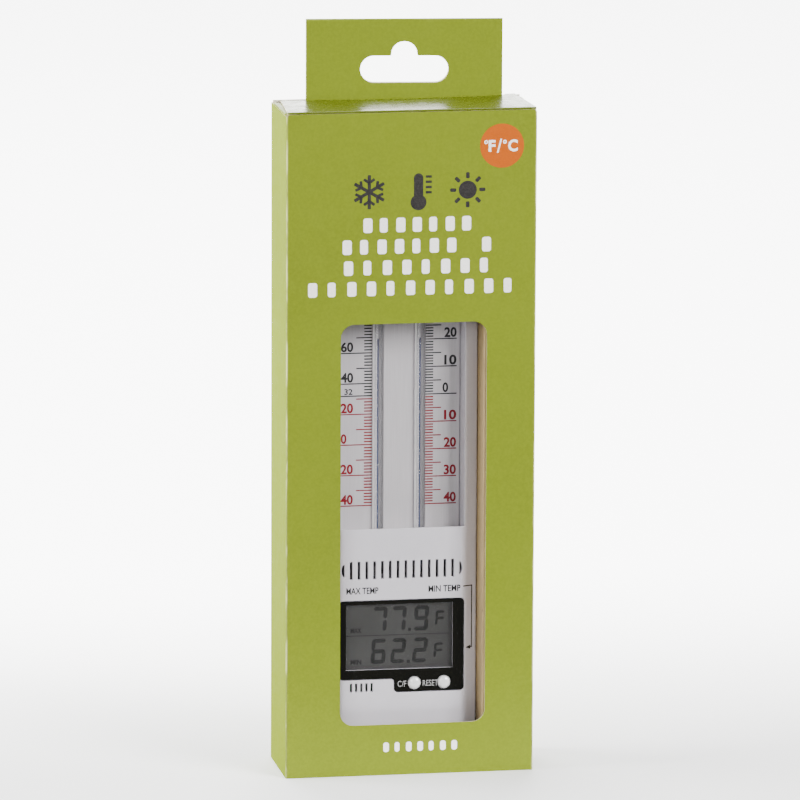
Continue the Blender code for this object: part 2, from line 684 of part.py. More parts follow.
def cut_vents(shell, cutters):
    """Cut the row of air slots with its two rounded ends, and the small row."""
    first = -VENT_PITCH * (VENT_COUNT - 1) / 2
    slots = case_box("vent_slots", cutters,
                     (first - VENT_WIDTH / 2, -REACH, VENT_CENTRE - VENT_HEIGHT / 2),
                     (first + VENT_WIDTH / 2, CASE_WALL + REACH, VENT_CENTRE + VENT_HEIGHT / 2))
    repeat(slots, VENT_COUNT, VENT_PITCH)
    combine(shell, slots)
    for side in (-1, 1):
        arc = [(side * (VENT_END_OFFSET + VENT_END_WIDTH * cos(angle)),
                VENT_CENTRE + VENT_END_RADIUS * sin(angle))
               for angle in (radians(step) for step in range(-90, 91, 30))]
        combine(shell, case_slab(f"vent_end_{side}", cutters, arc, -REACH, 3 * CASE_WALL))
    x, height = SMALL_VENT_CENTRE
    first = x - SMALL_VENT_PITCH * (SMALL_VENT_COUNT - 1) / 2
    slots = case_box("small_vent_slots", cutters,
                     (first - SMALL_VENT_WIDTH / 2, -REACH, height - SMALL_VENT_HEIGHT / 2),
                     (first + SMALL_VENT_WIDTH / 2, CASE_WALL + REACH,
                      height + SMALL_VENT_HEIGHT / 2))
    repeat(slots, SMALL_VENT_COUNT, SMALL_VENT_PITCH)
    combine(shell, slots)


def make_back_case(parts, cutters):
    """The back shell: battery bay, screw seats and the keyhole for a wall screw."""
    top = CASE_BOTTOM + CASE_LENGTH
    shell = level_slab("back_case", parts, back_profile(0, BACK_SHELL_FACE), CASE_BOTTOM, top)
    hollow = level_slab("back_hollow", cutters, back_profile(CASE_WALL, CASE_SPLIT - REACH),
                        CASE_BOTTOM + CASE_WALL, top - CASE_WALL)
    combine(shell, hollow)
    bay_radius = COVER_RADIUS + LUG_REACH + COVER_CLEARANCE + BAY_WALL
    overlap = CASE_WALL / 2
    combine(shell, case_rod("bay_boss", cutters, bay_radius, 0, BAY_HEIGHT,
                            BAY_FLOOR_BACK - BAY_FLOOR, BACK_WALL + overlap, 32), "UNION")
    for name, (x, height) in case_screw_spots().items():
        boss = case_rod(f"{name}_seat", cutters,
                        SCREW_HEAD_RADIUS + SCREW_CLEARANCE + BOSS_WALL / 2, x, height,
                        BACK_SHELL_FACE, BACK_WALL + overlap)
        combine(shell, boss, "UNION")
        combine(shell, case_rod(f"{name}_way", cutters, SCREW_RADIUS + SCREW_CLEARANCE, x,
                                height, CASE_SPLIT - REACH, CASE_THICKNESS))
        combine(shell, case_rod(f"{name}_counterbore", cutters,
                                SCREW_HEAD_RADIUS + SCREW_CLEARANCE, x, height,
                                SCREW_SEAT_DEPTH, CASE_THICKNESS + REACH))
    combine(shell, case_rod("cell_pocket", cutters, CELL_RADIUS + CELL_CLEARANCE, 0,
                            BAY_HEIGHT, BAY_FLOOR_BACK, BACK_WALL, 32))
    combine(shell, case_rod("lug_cavity", cutters, COVER_RADIUS + LUG_REACH + COVER_CLEARANCE,
                            0, BAY_HEIGHT, LUG_CAVITY_FACE, BACK_WALL, 32))
    combine(shell, case_rod("cover_hole", cutters, COVER_RADIUS + COVER_CLEARANCE, 0,
                            BAY_HEIGHT, LUG_CAVITY_FACE, CASE_THICKNESS + REACH, 32))
    notch = lug_bar("lug_notches", cutters, COVER_CLEARANCE, BACK_WALL - overlap,
                    CASE_THICKNESS + REACH)
    notch.rotation_euler = (0, LUG_TURN, 0)
    combine(shell, notch)
    half = CONTACT_WIDTH / 2 + CONTACT_SLOT_CLEARANCE
    depth = CONTACT_THICKNESS + CONTACT_SLOT_CLEARANCE
    combine(shell, case_box("positive_slot", cutters,
                            (POSITIVE_X - depth, BAY_FLOOR_BACK - 2 * BAY_FLOOR,
                             BAY_HEIGHT - half),
                            (POSITIVE_X + depth, LUG_CAVITY_FACE, BAY_HEIGHT + half)))
    combine(shell, case_box("negative_slot", cutters,
                            (NEGATIVE_LEG_X - CONTACT_SLOT_CLEARANCE,
                             BAY_FLOOR_BACK - 2 * BAY_FLOOR, BAY_HEIGHT - half),
                            (NEGATIVE_LEG_X + depth, CELL_FACE, BAY_HEIGHT + half)))
    combine(shell, keyhole_cutter(cutters))
    return shell


def keyhole_cutter(cutters):
    """A round hole with a narrower slot above it, for a screw's head and shank."""
    circle = [(KEYHOLE_RADIUS * cos(angle), KEYHOLE_Z + KEYHOLE_RADIUS * sin(angle))
              for angle in (radians(step) for step in range(120, 421, 30))]
    top = [(KEYHOLE_SLOT_RADIUS * cos(angle),
            KEYHOLE_Z + KEYHOLE_RISE + KEYHOLE_SLOT_RADIUS * sin(angle))
           for angle in (radians(step) for step in range(0, 181, 45))]
    return case_slab("keyhole_cut", cutters, circle + top, BACK_WALL - REACH,
                     CASE_THICKNESS + REACH)


def lug_bar(name, group, grow, front, back):
    """A bar across the battery cover, as long as its lugs reach."""
    reach = COVER_RADIUS + LUG_REACH + grow
    half = LUG_WIDTH / 2 + grow
    centre = spot(0, (front + back) / 2, BAY_HEIGHT)
    extent = Vector((reach, (back - front) / 2, half))
    return box(name, group, centre - extent, centre + extent)


# --- scale and tubes -------------------------------------------------------------------

def make_scale_plate(parts, cutters):
    """The scale plate, with a slot for each tube that is open at the foot."""
    half = RECESS_HALF_WIDTH - PLATE_SIDE_CLEARANCE
    foot = RECESS_BOTTOM - foot_drop(PLATE_FACE) + GAP
    plate = case_box("scale_plate", parts, (-half, PLATE_FACE, foot),
                     (half, PLATE_FACE + PLATE_THICKNESS, RECESS_TOP - GAP))
    slot_half = TUBE_RADIUS + TUBE_CLEARANCE
    for side in (-1, 1):
        x = side * TUBE_SPACING / 2
        combine(plate, case_box(f"plate_slot_{side}", cutters,
                                (x - slot_half, PLATE_FACE - REACH, foot - REACH),
                                (x + slot_half, RECESS_DEPTH, TUBE_TOP + TUBE_CLEARANCE)))
    return plate


def make_tube(parts, name, side):
    """A glass tube with its bulb at the foot; the bore is open at the top."""
    bulb_top = BULB_LENGTH - BULB_RADIUS
    bore_start = BULB_LENGTH - BULB_WALL
    length = TUBE_TOP - BULB_BOTTOM
    cavity = BULB_RADIUS - BULB_WALL
    profile = [(0, 0), (BULB_RADIUS * 0.7, BULB_RADIUS * 0.3), (BULB_RADIUS, BULB_RADIUS),
               (BULB_RADIUS, bulb_top), (TUBE_RADIUS, BULB_LENGTH), (TUBE_RADIUS, length),
               (TUBE_BORE, length), (TUBE_BORE, bore_start), (cavity, bulb_top - BULB_WALL),
               (cavity, BULB_RADIUS), (cavity * 0.7, BULB_WALL + cavity * 0.3),
               (0, BULB_WALL)]
    return turned(name, parts, profile, spot(side * TUBE_SPACING / 2, TUBE_DEPTH, BULB_BOTTOM))


def make_spirit(parts, name, side):
    """The spirit in a bulb and its thread in the bore, up to the stored reading."""
    wall = BULB_WALL + GAP
    cavity = BULB_RADIUS - wall
    neck = BULB_LENGTH - BULB_RADIUS - wall
    profile = [(0, wall), (cavity * 0.7, wall + cavity * 0.3), (cavity, BULB_RADIUS),
               (cavity, neck), (THREAD_RADIUS, neck + cavity),
               (THREAD_RADIUS, THREAD_TOP - BULB_BOTTOM), (0, THREAD_TOP - BULB_BOTTOM)]
    return turned(name, parts, profile, spot(side * TUBE_SPACING / 2, TUBE_DEPTH, BULB_BOTTOM),
                  steps=8)


def make_tube_bridge(parts):
    """The strap across both tubes near their tops."""
    half = TUBE_SPACING / 2 + TUBE_RADIUS + BRIDGE_OVERHANG
    back = TUBE_DEPTH - TUBE_RADIUS - GAP
    top = TUBE_TOP - BRIDGE_TOP_SPACE + BRIDGE_HEIGHT
    return case_box("tube_bridge", parts, (-half, back - BRIDGE_THICKNESS, top - BRIDGE_HEIGHT),
                    (half, back, top))


# --- display, board and buttons --------------------------------------------------------

def make_mask(parts, cutters):
    """The black mask round the display, with the holes for the buttons."""
    mask = case_slab("display_mask", parts, mask_outline(0), 0, MASK_THICKNESS)
    combine(mask, case_box("mask_view_cut", cutters, (VIEW_LEFT, -REACH, VIEW_BOTTOM),
                           (VIEW_RIGHT, MASK_THICKNESS + REACH, VIEW_TOP)))
    for name, x in button_places().items():
        combine(mask, case_rod(f"{name}_mask_hole", cutters, BUTTON_RADIUS + BUTTON_CLEARANCE,
                               x, BUTTON_HEIGHT, -REACH, MASK_THICKNESS + REACH))
    return mask


def make_lens(parts):
    """The clear window of the display."""
    return case_box("display_lens", parts,
                    (VIEW_LEFT + GAP, LENS_BACK - LENS_THICKNESS, VIEW_BOTTOM + GAP),
                    (VIEW_RIGHT - GAP, LENS_BACK, VIEW_TOP - GAP))


def make_display_glass(parts):
    """The liquid crystal glass."""
    return case_box("lcd_glass", parts,
                    (VIEW_LEFT - GLASS_MARGIN, GLASS_FACE, VIEW_BOTTOM - GLASS_MARGIN / 2),
                    (VIEW_RIGHT + GLASS_MARGIN, GLASS_BACK, VIEW_TOP + GLASS_MARGIN))


def make_zebra(parts):
    """The striped rubber contact between the glass and the board."""
    foot = VIEW_BOTTOM - GLASS_MARGIN / 2 + GAP
    return case_box("zebra_strip", parts, (VIEW_LEFT, ZEBRA_FACE, foot),
                    (VIEW_RIGHT, ZEBRA_FACE + ZEBRA_DEPTH, foot + ZEBRA_HEIGHT))


def make_circuit_board(parts, cutters):
    """The circuit board with its two screw holes."""
    board = case_box("circuit_board", parts, (-BOARD_HALF_WIDTH, PCB_FACE, PCB_BOTTOM),
                     (BOARD_HALF_WIDTH, PCB_BACK, PCB_TOP))
    for side in (-1, 1):
        combine(board, case_rod(f"board_hole_{side}", cutters,
                                PCB_SCREW_RADIUS + SCREW_CLEARANCE, side * PCB_SCREW_X,
                                PCB_SCREW_Z, PCB_FACE - REACH, PCB_BACK + REACH))
    return board


def make_chip(parts):
    """The epoxy blob over the controller."""
    x, height = CHIP_SPOT
    face = PCB_BACK + GAP
    return case_turned("controller_chip", parts,
                       [(0, face), (CHIP_RADIUS, face), (CHIP_RADIUS, face + CHIP_HEIGHT / 3),
                        (CHIP_RADIUS * 0.7, face + CHIP_HEIGHT * 0.8), (0, face + CHIP_HEIGHT)],
                       x, height)


def make_sensor(parts):
    """The thermistor over the board's top edge, behind the vents."""
    start = PCB_TOP + GAP
    depth = (PCB_FACE + PCB_BACK) / 2
    return rod("temperature_sensor", parts, SENSOR_RADIUS, spot(SENSOR_X, depth, start),
               spot(SENSOR_X, depth, start + SENSOR_LENGTH), 12)


def make_switch(parts, name, x):
    """A dome switch on the board."""
    return case_turned(name, parts,
                       [(0, SWITCH_FACE), (SWITCH_RADIUS * 0.5, SWITCH_FACE),
                        (SWITCH_RADIUS, SWITCH_FACE + SWITCH_HEIGHT * 0.6),
                        (SWITCH_RADIUS, SWITCH_FACE + SWITCH_HEIGHT),
                        (0, SWITCH_FACE + SWITCH_HEIGHT)], x, BUTTON_HEIGHT, 12)


def make_button(parts, name, x):
    """A domed button with the flange that keeps it in the case and the stem behind it."""
    flange = CASE_WALL + GAP
    flange_back = flange + BUTTON_FLANGE_THICKNESS
    stem_end = SWITCH_FACE - GAP - BUTTON_TRAVEL
    dome = BUTTON_RISE * 0.75
    profile = [(0, -BUTTON_RISE), (BUTTON_RADIUS * 0.5, -BUTTON_RISE + dome * 0.13),
               (BUTTON_RADIUS * 0.85, -BUTTON_RISE + dome * 0.47),
               (BUTTON_RADIUS, -BUTTON_RISE + dome), (BUTTON_RADIUS, flange),
               (BUTTON_FLANGE_RADIUS, flange), (BUTTON_FLANGE_RADIUS, flange_back),
               (BUTTON_STEM_RADIUS, flange_back), (BUTTON_STEM_RADIUS, stem_end),
               (0, stem_end)]
    return case_turned(name, parts, profile, x, BUTTON_HEIGHT)


# --- battery -----------------------------------------------------------------------------

def make_battery(parts):
    """The coin cell, with its narrower negative face towards the board."""
    step = CELL_THICKNESS / 4
    return case_turned("battery", parts,
                       [(0, CELL_FACE), (CELL_RADIUS * 0.88, CELL_FACE),
                        (CELL_RADIUS * 0.88, CELL_FACE + step), (CELL_RADIUS, CELL_FACE + step),
                        (CELL_RADIUS, CELL_BACK), (0, CELL_BACK)], 0, BAY_HEIGHT, 32)


def make_contact_positive(parts):
    """The strip against the cell's rim, with its leg to the board."""
    half = CONTACT_WIDTH / 2
    return case_box("battery_contact_positive", parts,
                    (POSITIVE_X - CONTACT_THICKNESS / 2, PCB_BACK + GAP, BAY_HEIGHT - half),
                    (POSITIVE_X + CONTACT_THICKNESS / 2, CELL_BACK - GAP, BAY_HEIGHT + half))


def make_contact_negative(parts, cutters):
    """The strip under the cell, with its leg to the board."""
    half = CONTACT_WIDTH / 2
    strip = case_box("battery_contact_negative", parts,
                     (-NEGATIVE_LEG_X, NEGATIVE_FACE, BAY_HEIGHT - half),
                     (NEGATIVE_LEG_X + CONTACT_THICKNESS, NEGATIVE_FACE + CONTACT_THICKNESS,
                      BAY_HEIGHT + half))
    leg = case_box("negative_leg", cutters, (NEGATIVE_LEG_X, PCB_BACK + GAP, BAY_HEIGHT - half),
                   (NEGATIVE_LEG_X + CONTACT_THICKNESS, NEGATIVE_FACE + CONTACT_THICKNESS,
                    BAY_HEIGHT + half))
    combine(strip, leg, "UNION")
    return strip


def make_cover(parts, cutters):
    """The round battery cover with its two lugs and the coin slot."""
    cover = case_rod("battery_cover", parts, COVER_RADIUS, 0, BAY_HEIGHT, COVER_FACE,
                     CASE_THICKNESS, 32)
    combine(cover, lug_bar("cover_lugs", cutters, 0, COVER_FACE, COVER_FACE + LUG_THICKNESS),
            "UNION")
    half_length, half_width = COIN_SLOT_LENGTH / 2, COIN_SLOT_WIDTH / 2
    combine(cover, case_slab("coin_slot", cutters,
                             rectangle(-half_length, half_length, BAY_HEIGHT - half_width,
                                       BAY_HEIGHT + half_width, half_width * 0.9),
                             CASE_THICKNESS - COIN_SLOT_DEPTH, CASE_THICKNESS + REACH))
    return cover


# --- fasteners -----------------------------------------------------------------------------

def make_case_screw(parts, name, x, height):
    """A pan-head screw that holds the two shells together."""
    seat = SCREW_SEAT_DEPTH + GAP
    head = seat + SCREW_HEAD_HEIGHT
    return case_turned(name, parts,
                       [(0, seat - SCREW_BITE), (SCREW_RADIUS, seat - SCREW_BITE + SCREW_RADIUS),
                        (SCREW_RADIUS, seat), (SCREW_HEAD_RADIUS, seat),
                        (SCREW_HEAD_RADIUS, seat + SCREW_HEAD_HEIGHT * 0.6),
                        (SCREW_HEAD_RADIUS * 0.6, head), (0, head)], x, height, 12)


def make_board_screw(parts, name, x):
    """A small screw that holds the circuit board to the front shell."""
    seat = PCB_BACK + GAP
    tip = PCB_FACE - PCB_SCREW_BITE
    head = seat + PCB_SCREW_HEAD_HEIGHT
    return case_turned(name, parts,
                       [(0, tip), (PCB_SCREW_RADIUS, tip + PCB_SCREW_RADIUS),
                        (PCB_SCREW_RADIUS, seat), (PCB_SCREW_HEAD_RADIUS, seat),
                        (PCB_SCREW_HEAD_RADIUS, seat + PCB_SCREW_HEAD_HEIGHT * 0.6),
                        (PCB_SCREW_HEAD_RADIUS * 0.6, head), (0, head)], x, PCB_SCREW_Z, 12)


def clear_scene():
    """Remove what the scene holds."""
    for old in list(bpy.data.objects):
        bpy.data.objects.remove(old, do_unlink=True)


def new_group(name):
    """Add a collection to the scene."""
    group = bpy.data.collections.new(name)
    bpy.context.scene.collection.children.link(group)
    return group


def build():
    """Make every piece and give each its material."""
    clear_scene()
    parts = new_group("maximum_minimum_thermometer")
    cutters = new_group("cutters")
    looks = {name: add_material(name) for name in MATERIALS}
    pieces = [
        (make_sleeve(parts, cutters), "printed_board"),
        (make_bottom(parts), "printed_board"),
        (make_hang_tab(parts, cutters), "printed_board"),
        (make_insert(parts), "kraft_board"),
        (make_lid(parts), "lid_board"),
        (make_tuck_flap(parts), "lid_board"),
        (make_dust_flap(parts, "dust_flap_left", -1), "lid_board"),
        (make_dust_flap(parts, "dust_flap_right", 1), "lid_board"),
        (make_front_case(parts, cutters), "case_plastic"),
        (make_back_case(parts, cutters), "case_plastic"),
        (make_scale_plate(parts, cutters), "scale_plate"),
        (make_tube(parts, "glass_tube_left", -1), "tube_glass"),
        (make_tube(parts, "glass_tube_right", 1), "tube_glass"),
        (make_spirit(parts, "spirit_thread_left", -1), "spirit"),
        (make_spirit(parts, "spirit_thread_right", 1), "spirit"),
        (make_tube_bridge(parts), "case_plastic"),
        (make_mask(parts, cutters), "black_print"),
        (make_lens(parts), "clear_lens"),
        (make_display_glass(parts), "display_glass"),
        (make_zebra(parts), "zebra_rubber"),
        (make_circuit_board(parts, cutters), "circuit_board"),
        (make_chip(parts), "epoxy"),
        (make_sensor(parts), "epoxy"),
        (make_switch(parts, "unit_switch", UNIT_BUTTON_X), "steel"),
        (make_switch(parts, "reset_switch", RESET_BUTTON_X), "steel"),
        (make_button(parts, "unit_button", UNIT_BUTTON_X), "button_plastic"),
        (make_button(parts, "reset_button", RESET_BUTTON_X), "button_plastic"),
        (make_battery(parts), "steel"),
        (make_contact_positive(parts), "steel"),
        (make_contact_negative(parts, cutters), "steel"),
        (make_cover(parts, cutters), "case_plastic"),
    ]
    for name, (x, height) in case_screw_spots().items():
        pieces.append((make_case_screw(parts, name, x, height), "steel"))
    for side, name in ((-1, "board_screw_left"), (1, "board_screw_right")):
        pieces.append((make_board_screw(parts, name, side * PCB_SCREW_X), "steel"))
    for piece, look in pieces:
        piece.data.materials.append(looks[look])
    for cutter in cutters.objects:
        cutter.hide_render = True
        cutter.display_type = "WIRE"


build()
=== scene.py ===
"""A boxed maximum minimum thermometer: its board carton, case, scales, display, print and studio."""

from math import cos, pi, radians, sin, tau

import bmesh
import bpy
from bpy.props import FloatProperty, FloatVectorProperty, PointerProperty
from bpy.types import Operator, Panel, PropertyGroup
from mathutils import Matrix, Vector
from mathutils.bvhtree import BVHTree


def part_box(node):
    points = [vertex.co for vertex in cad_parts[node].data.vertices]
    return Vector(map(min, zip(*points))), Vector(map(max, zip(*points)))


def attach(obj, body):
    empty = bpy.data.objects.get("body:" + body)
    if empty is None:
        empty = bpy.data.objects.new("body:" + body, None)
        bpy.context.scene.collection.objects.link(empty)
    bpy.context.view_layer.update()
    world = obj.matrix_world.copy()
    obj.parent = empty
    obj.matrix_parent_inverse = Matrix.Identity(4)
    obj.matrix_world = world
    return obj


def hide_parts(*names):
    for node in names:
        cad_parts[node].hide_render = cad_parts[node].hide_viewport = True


bl_info = {
    "name": "Boxed Maximum Minimum Thermometer",
    "version": (1, 0, 0),
    "blender": (4, 5, 0),
    "location": "View3D > Sidebar > Thermometer",
    "description": "Board carton, thermometer, print and studio round a packed model",
    "category": "Object",
}

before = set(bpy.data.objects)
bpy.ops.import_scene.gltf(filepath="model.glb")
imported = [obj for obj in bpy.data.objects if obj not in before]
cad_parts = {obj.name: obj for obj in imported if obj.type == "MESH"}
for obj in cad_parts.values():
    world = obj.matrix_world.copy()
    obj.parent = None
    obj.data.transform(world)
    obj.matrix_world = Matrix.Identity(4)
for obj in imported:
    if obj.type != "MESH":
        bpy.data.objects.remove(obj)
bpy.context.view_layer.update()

MM = 0.001
SLEEVE_LOW, SLEEVE_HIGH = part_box("carton_sleeve")
TAB_LOW, TAB_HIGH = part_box("hang_tab")
LID_LOW, LID_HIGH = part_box("carton_lid")
TUCK_LOW, TUCK_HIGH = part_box("lid_tuck_flap")
INSERT_LOW, INSERT_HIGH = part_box("carton_insert")
CASE_LOW, CASE_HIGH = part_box("front_case")
PLATE_LOW, PLATE_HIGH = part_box("scale_plate")
GLASS_LOW, GLASS_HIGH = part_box("lcd_glass")
MASK_LOW, MASK_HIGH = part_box("display_mask")
CASE_MIDDLE = (CASE_LOW.x + CASE_HIGH.x) / 2
FREEZING = 137.0 * MM             # height of 0 degrees C on the plate
DEGREE = 1.0132 * MM              # rise of one degree C
INK = 0.02 * MM                   # how thick printed ink stands
WINDOW = (-25.6, 27.6, 18.8, 166.5, 4.8)  # left, right, low, high and corner radius in mm
GLUE_FLAP = 12 * MM               # how far the glued edge reaches inside the back wall
SLOT_FOOT = 249.1 * MM            # height of the hang slot's lower edge
SLOT_MIDDLE = 3 * MM              # the slot's middle, a little right of the carton's
TAB_FOOT = 4 * MM                 # how far the tab's front layer reaches below its foot
TAB_SLANT = 0.0165                # how much the tab's top falls for each metre to the right
EAR_GAP = 1.1 * MM                # between the lid's ears and the tab
INSERT_GAP = 0.15 * MM            # between the insert and the sides of the case
SIGNS = 214.6                     # height of the pictograms' middle in mm
BADGE = (32.7, 230.3, 8.0)        # the badge's middle and radius in mm
TUBE_PITCH = 15.4 * MM            # between the two tubes
SCALE_START = 9.8 * MM            # from the plate's middle to the scale lines
LENS = 367.425                    # focal length in mm, on a sensor 36 mm wide


def colour(name, default, description):
    """A colour setting."""
    return FloatVectorProperty(name=name, description=description, subtype="COLOR", size=3,
                               default=default, min=0.0, max=1.0)


def length(name, default, description):
    """A length setting in metres."""
    return FloatProperty(name=name, description=description, default=default, min=0.0,
                         precision=5, unit="LENGTH")


def watts(name, default, description):
    """A lamp's power setting."""
    return FloatProperty(name=name, description=description, default=default, min=0.0,
                         unit="POWER")


def angle(name, degrees, description):
    """An angle setting, with its default in degrees."""
    return FloatProperty(name=name, description=description, default=radians(degrees),
                         subtype="ANGLE")


class CartonSettings(PropertyGroup):
    """Sizes and colours of the carton and its print."""

    board: length("Board", 0.5 * MM, "Thickness of the carton's board")
    crease: length("Crease radius", 0.6 * MM, "Outer radius of the folded corners")
    lid_sag: length("Lid sag", 1.2 * MM, "How far the lid sinks in front of the hang tab")
    green: colour("Green print", (0.134, 0.172, 0.010), "Ink on the outside of the board")
    lining: colour("Board inside", (0.60, 0.56, 0.46), "Unprinted inside of the board")
    cut_edge: colour("Cut edge", (0.62, 0.58, 0.36), "Raw edge of the board")
    kraft: colour("Kraft", (0.34, 0.24, 0.11), "Brown board of the insert")
    title_white: colour("Title white", (0.93, 0.90, 0.87), "Ink of the title blocks")
    charcoal: colour("Charcoal", (0.020, 0.018, 0.017), "Ink of the pictograms")
    orange: colour("Badge orange", (0.41, 0.079, 0.0), "Ink of the round badge")


class ThermometerSettings(PropertyGroup):
    """Sizes and colours of the thermometer and its print."""

    silver: colour("Case silver", (0.55, 0.53, 0.57), "Satin paint of the case")
    plate: colour("Plate", (0.42, 0.40, 0.415), "Silver grey scale plate")
    spirit: colour("Spirit", (0.012, 0.022, 0.085), "Coloured spirit in the tubes")
    black: colour("Black print", (0.010, 0.010, 0.011), "Scales above freezing")
    red: colour("Red print", (0.15, 0.004, 0.010), "Scales below freezing")
    minor_line: length("Minor line", 0.48 * MM, "Thickness of the short scale lines")
    long_line: length("Long line", 0.42 * MM, "Thickness of the long scale lines")
    numeral: length("Numeral height", 3.7 * MM, "Height of the scale numerals")
    digit: length("Digit height", 9.3 * MM, "Height of the display's digits")
    screen: colour("Screen", (0.048, 0.047, 0.046), "Reflector behind the display")
    segment: colour("Segments", (0.012, 0.012, 0.012), "Dark segments of the display")


class StudioSettings(PropertyGroup):
    """The floor, lights and camera."""

    floor: colour("Floor", (0.90, 0.90, 0.90), "Pale floor")
    key: watts("Key light", 94.0, "Large soft light in front on the right")
    top: watts("Top light", 45.0, "Soft light overhead")
    side: watts("Side light", 110.0, "Soft light on the left")
    fill: watts("Fill light", 22.0, "Soft light in front on the left")
    glow: FloatProperty(name="Backdrop glow", default=6.0, min=0.0,
                        description="How bright the floor is behind the carton")
    yaw: angle("Camera yaw", 10.0, "How far the camera stands to the left")
    pitch: angle("Camera pitch", 11.39, "How far the camera looks down")
    roll: angle("Camera roll", 0.25, "Turn about the view axis")
    distance: length("Camera distance", 2.94, "From the camera to the carton's front")


# Finishes

class Finish:
    """A Principled material whose colour, gloss and surface come from patterns on the object."""

    def __init__(self, name, **values):
        self.material = bpy.data.materials.new(name)
        self.material.use_nodes = True
        self.tree = self.material.node_tree
        self.shader = self.tree.nodes["Principled BSDF"]
        self.place = self.add("ShaderNodeTexCoord").outputs["Object"]
        self.normal = None
        for key, value in values.items():
            socket = self.shader.inputs[key.replace("_", " ")]
            socket.default_value = (*value, 1.0) if isinstance(value, tuple) else value

    def add(self, kind, inputs=None, **settings):
        """Add a node, with its settings and its inputs as sockets or values."""
        node = self.tree.nodes.new(kind)
        for key, value in settings.items():
            setattr(node, key, value)
        for key, value in (inputs or {}).items():
            if isinstance(value, bpy.types.NodeSocket):
                self.tree.links.new(value, node.inputs[key])
            else:
                node.inputs[key].default_value = value
        return node

    def noise(self, scale, detail, stretch=(1, 1, 1), roughness=0.5):
        """Soft noise, with its scale in waves per metre, stretched along the axes."""
        place = self.add("ShaderNodeMapping", {"Vector": self.place, "Scale": stretch})
        node = self.add("ShaderNodeTexNoise", {"Vector": place.outputs["Vector"],
                        "Scale": scale, "Detail": detail, "Roughness": roughness})
        return node.outputs["Fac"]

    def axis(self, name):
        """One of the object's coordinates."""
        return self.add("ShaderNodeSeparateXYZ", {"Vector": self.place}).outputs[name]

    def span(self, value, low, high, start=0.0, end=1.0):
        """Turn a value's range into another with soft ends, and hold it past them."""
        inputs = {"Value": value, "From Min": low, "From Max": high, "To Min": start, "To Max": end}
        node = self.add("ShaderNodeMapRange", inputs, interpolation_type="SMOOTHSTEP", clamp=True)
        return node.outputs["Result"]

    def math(self, operation, first, second=0.0):
        """A sum on two values."""
        node = self.add("ShaderNodeMath", {0: first, 1: second}, operation=operation)
        return node.outputs["Value"]

    def mix(self, amount, first, second):
        """A colour between two colours."""
        node = self.add("ShaderNodeMix", {"Factor": amount}, data_type="RGBA")
        for socket, value in ((node.inputs[6], first), (node.inputs[7], second)):
            if isinstance(value, bpy.types.NodeSocket):
                self.tree.links.new(value, socket)
            else:
                socket.default_value = (*value[:3], 1.0)
        return node.outputs[2]

    def tone(self, pattern, tint, dark, light, low=0.3, high=0.7):
        """A tint that is darker and lighter with a pattern."""
        return self.mix(self.span(pattern, low, high), shade(tint, dark), shade(tint, light))

    def drive(self, name, socket):
        """Set one of the shader's inputs from a pattern."""
        self.tree.links.new(socket, self.shader.inputs[name])

    def paint(self, socket):
        """Colour the surface with a pattern."""
        self.drive("Base Color", socket)

    def wear(self, scale, detail, least, most, low=0.3, high=0.7, stretch=(1, 1, 1)):
        """Let the roughness wander between two values."""
        wander = self.noise(scale, detail, stretch)
        self.drive("Roughness", self.span(wander, low, high, least, most))

    def bump(self, height, distance, strength):
        """Raise the surface by a pattern, over any bump it already has."""
        inputs = {"Height": height, "Distance": distance, "Strength": strength}
        if self.normal:
            inputs["Normal"] = self.normal
        self.normal = self.add("ShaderNodeBump", inputs).outputs["Normal"]
        self.drive("Normal", self.normal)

    def soften(self, radius):
        """Shade the edges as if they were slightly rounded."""
        self.normal = self.add("ShaderNodeBevel", {"Radius": radius}, samples=6).outputs["Normal"]
        self.drive("Normal", self.normal)


def shade(tint, amount):
    """A lighter or darker tint."""
    return tuple(min(1.0, channel * amount) for channel in tint)


def chosen(setting):
    """The colour that a setting holds, named as group.setting."""
    group, name = setting.split(".")
    return tuple(getattr(getattr(bpy.context.scene, group + "_settings"), name))


def green_board(name, roughness, specular, index, dark):
    """Varnished green print, worn pale along the creases, with a roughness, two strengths for its
    highlights and a darkness. A darkness below one is painted shade over the whole sheet."""
    # A darkness below one darkens the whole green as painted shade.
    tint = shade(chosen("carton.green"), dark)
    board = Finish(name, Roughness=roughness, Specular_IOR_Level=specular,
                   Specular_Tint=(0.9, 0.95, 0.3))
    base = board.tone(board.noise(900, 4, roughness=0.7), tint, 0.90, 1.10)
    drift = board.span(board.noise(14, 2), 0.35, 0.7, 0.0, 0.25)
    base = board.mix(drift, base, shade(tint, 1.25))
    side = board.math("ABSOLUTE", board.axis("X"))
    corner = board.math("ADD", side, board.math("ABSOLUTE", board.axis("Y")))
    edge = SLEEVE_HIGH.x + SLEEVE_HIGH.y
    crease = board.span(corner, edge - 0.75 * MM, edge - 0.25 * MM)
    scuff = board.span(board.noise(420, 3, (1, 1, 0.2)), 0.42, 0.62, 0.12, 0.75)
    board.paint(board.mix(board.math("MULTIPLY", crease, scuff), base, (0.62, 0.62, 0.30)))
    board.wear(260, 3, roughness - 0.03, roughness + 0.07)
    board.drive("IOR", board.span(side, SLEEVE_HIGH.x - 0.3 * MM, SLEEVE_HIGH.x, index, 1.02))
    board.bump(board.noise(2600, 2), 0.004 * MM, 0.35)
    board.bump(board.noise(22, 1, (1, 1, 0.45)), 0.25 * MM, 0.5)


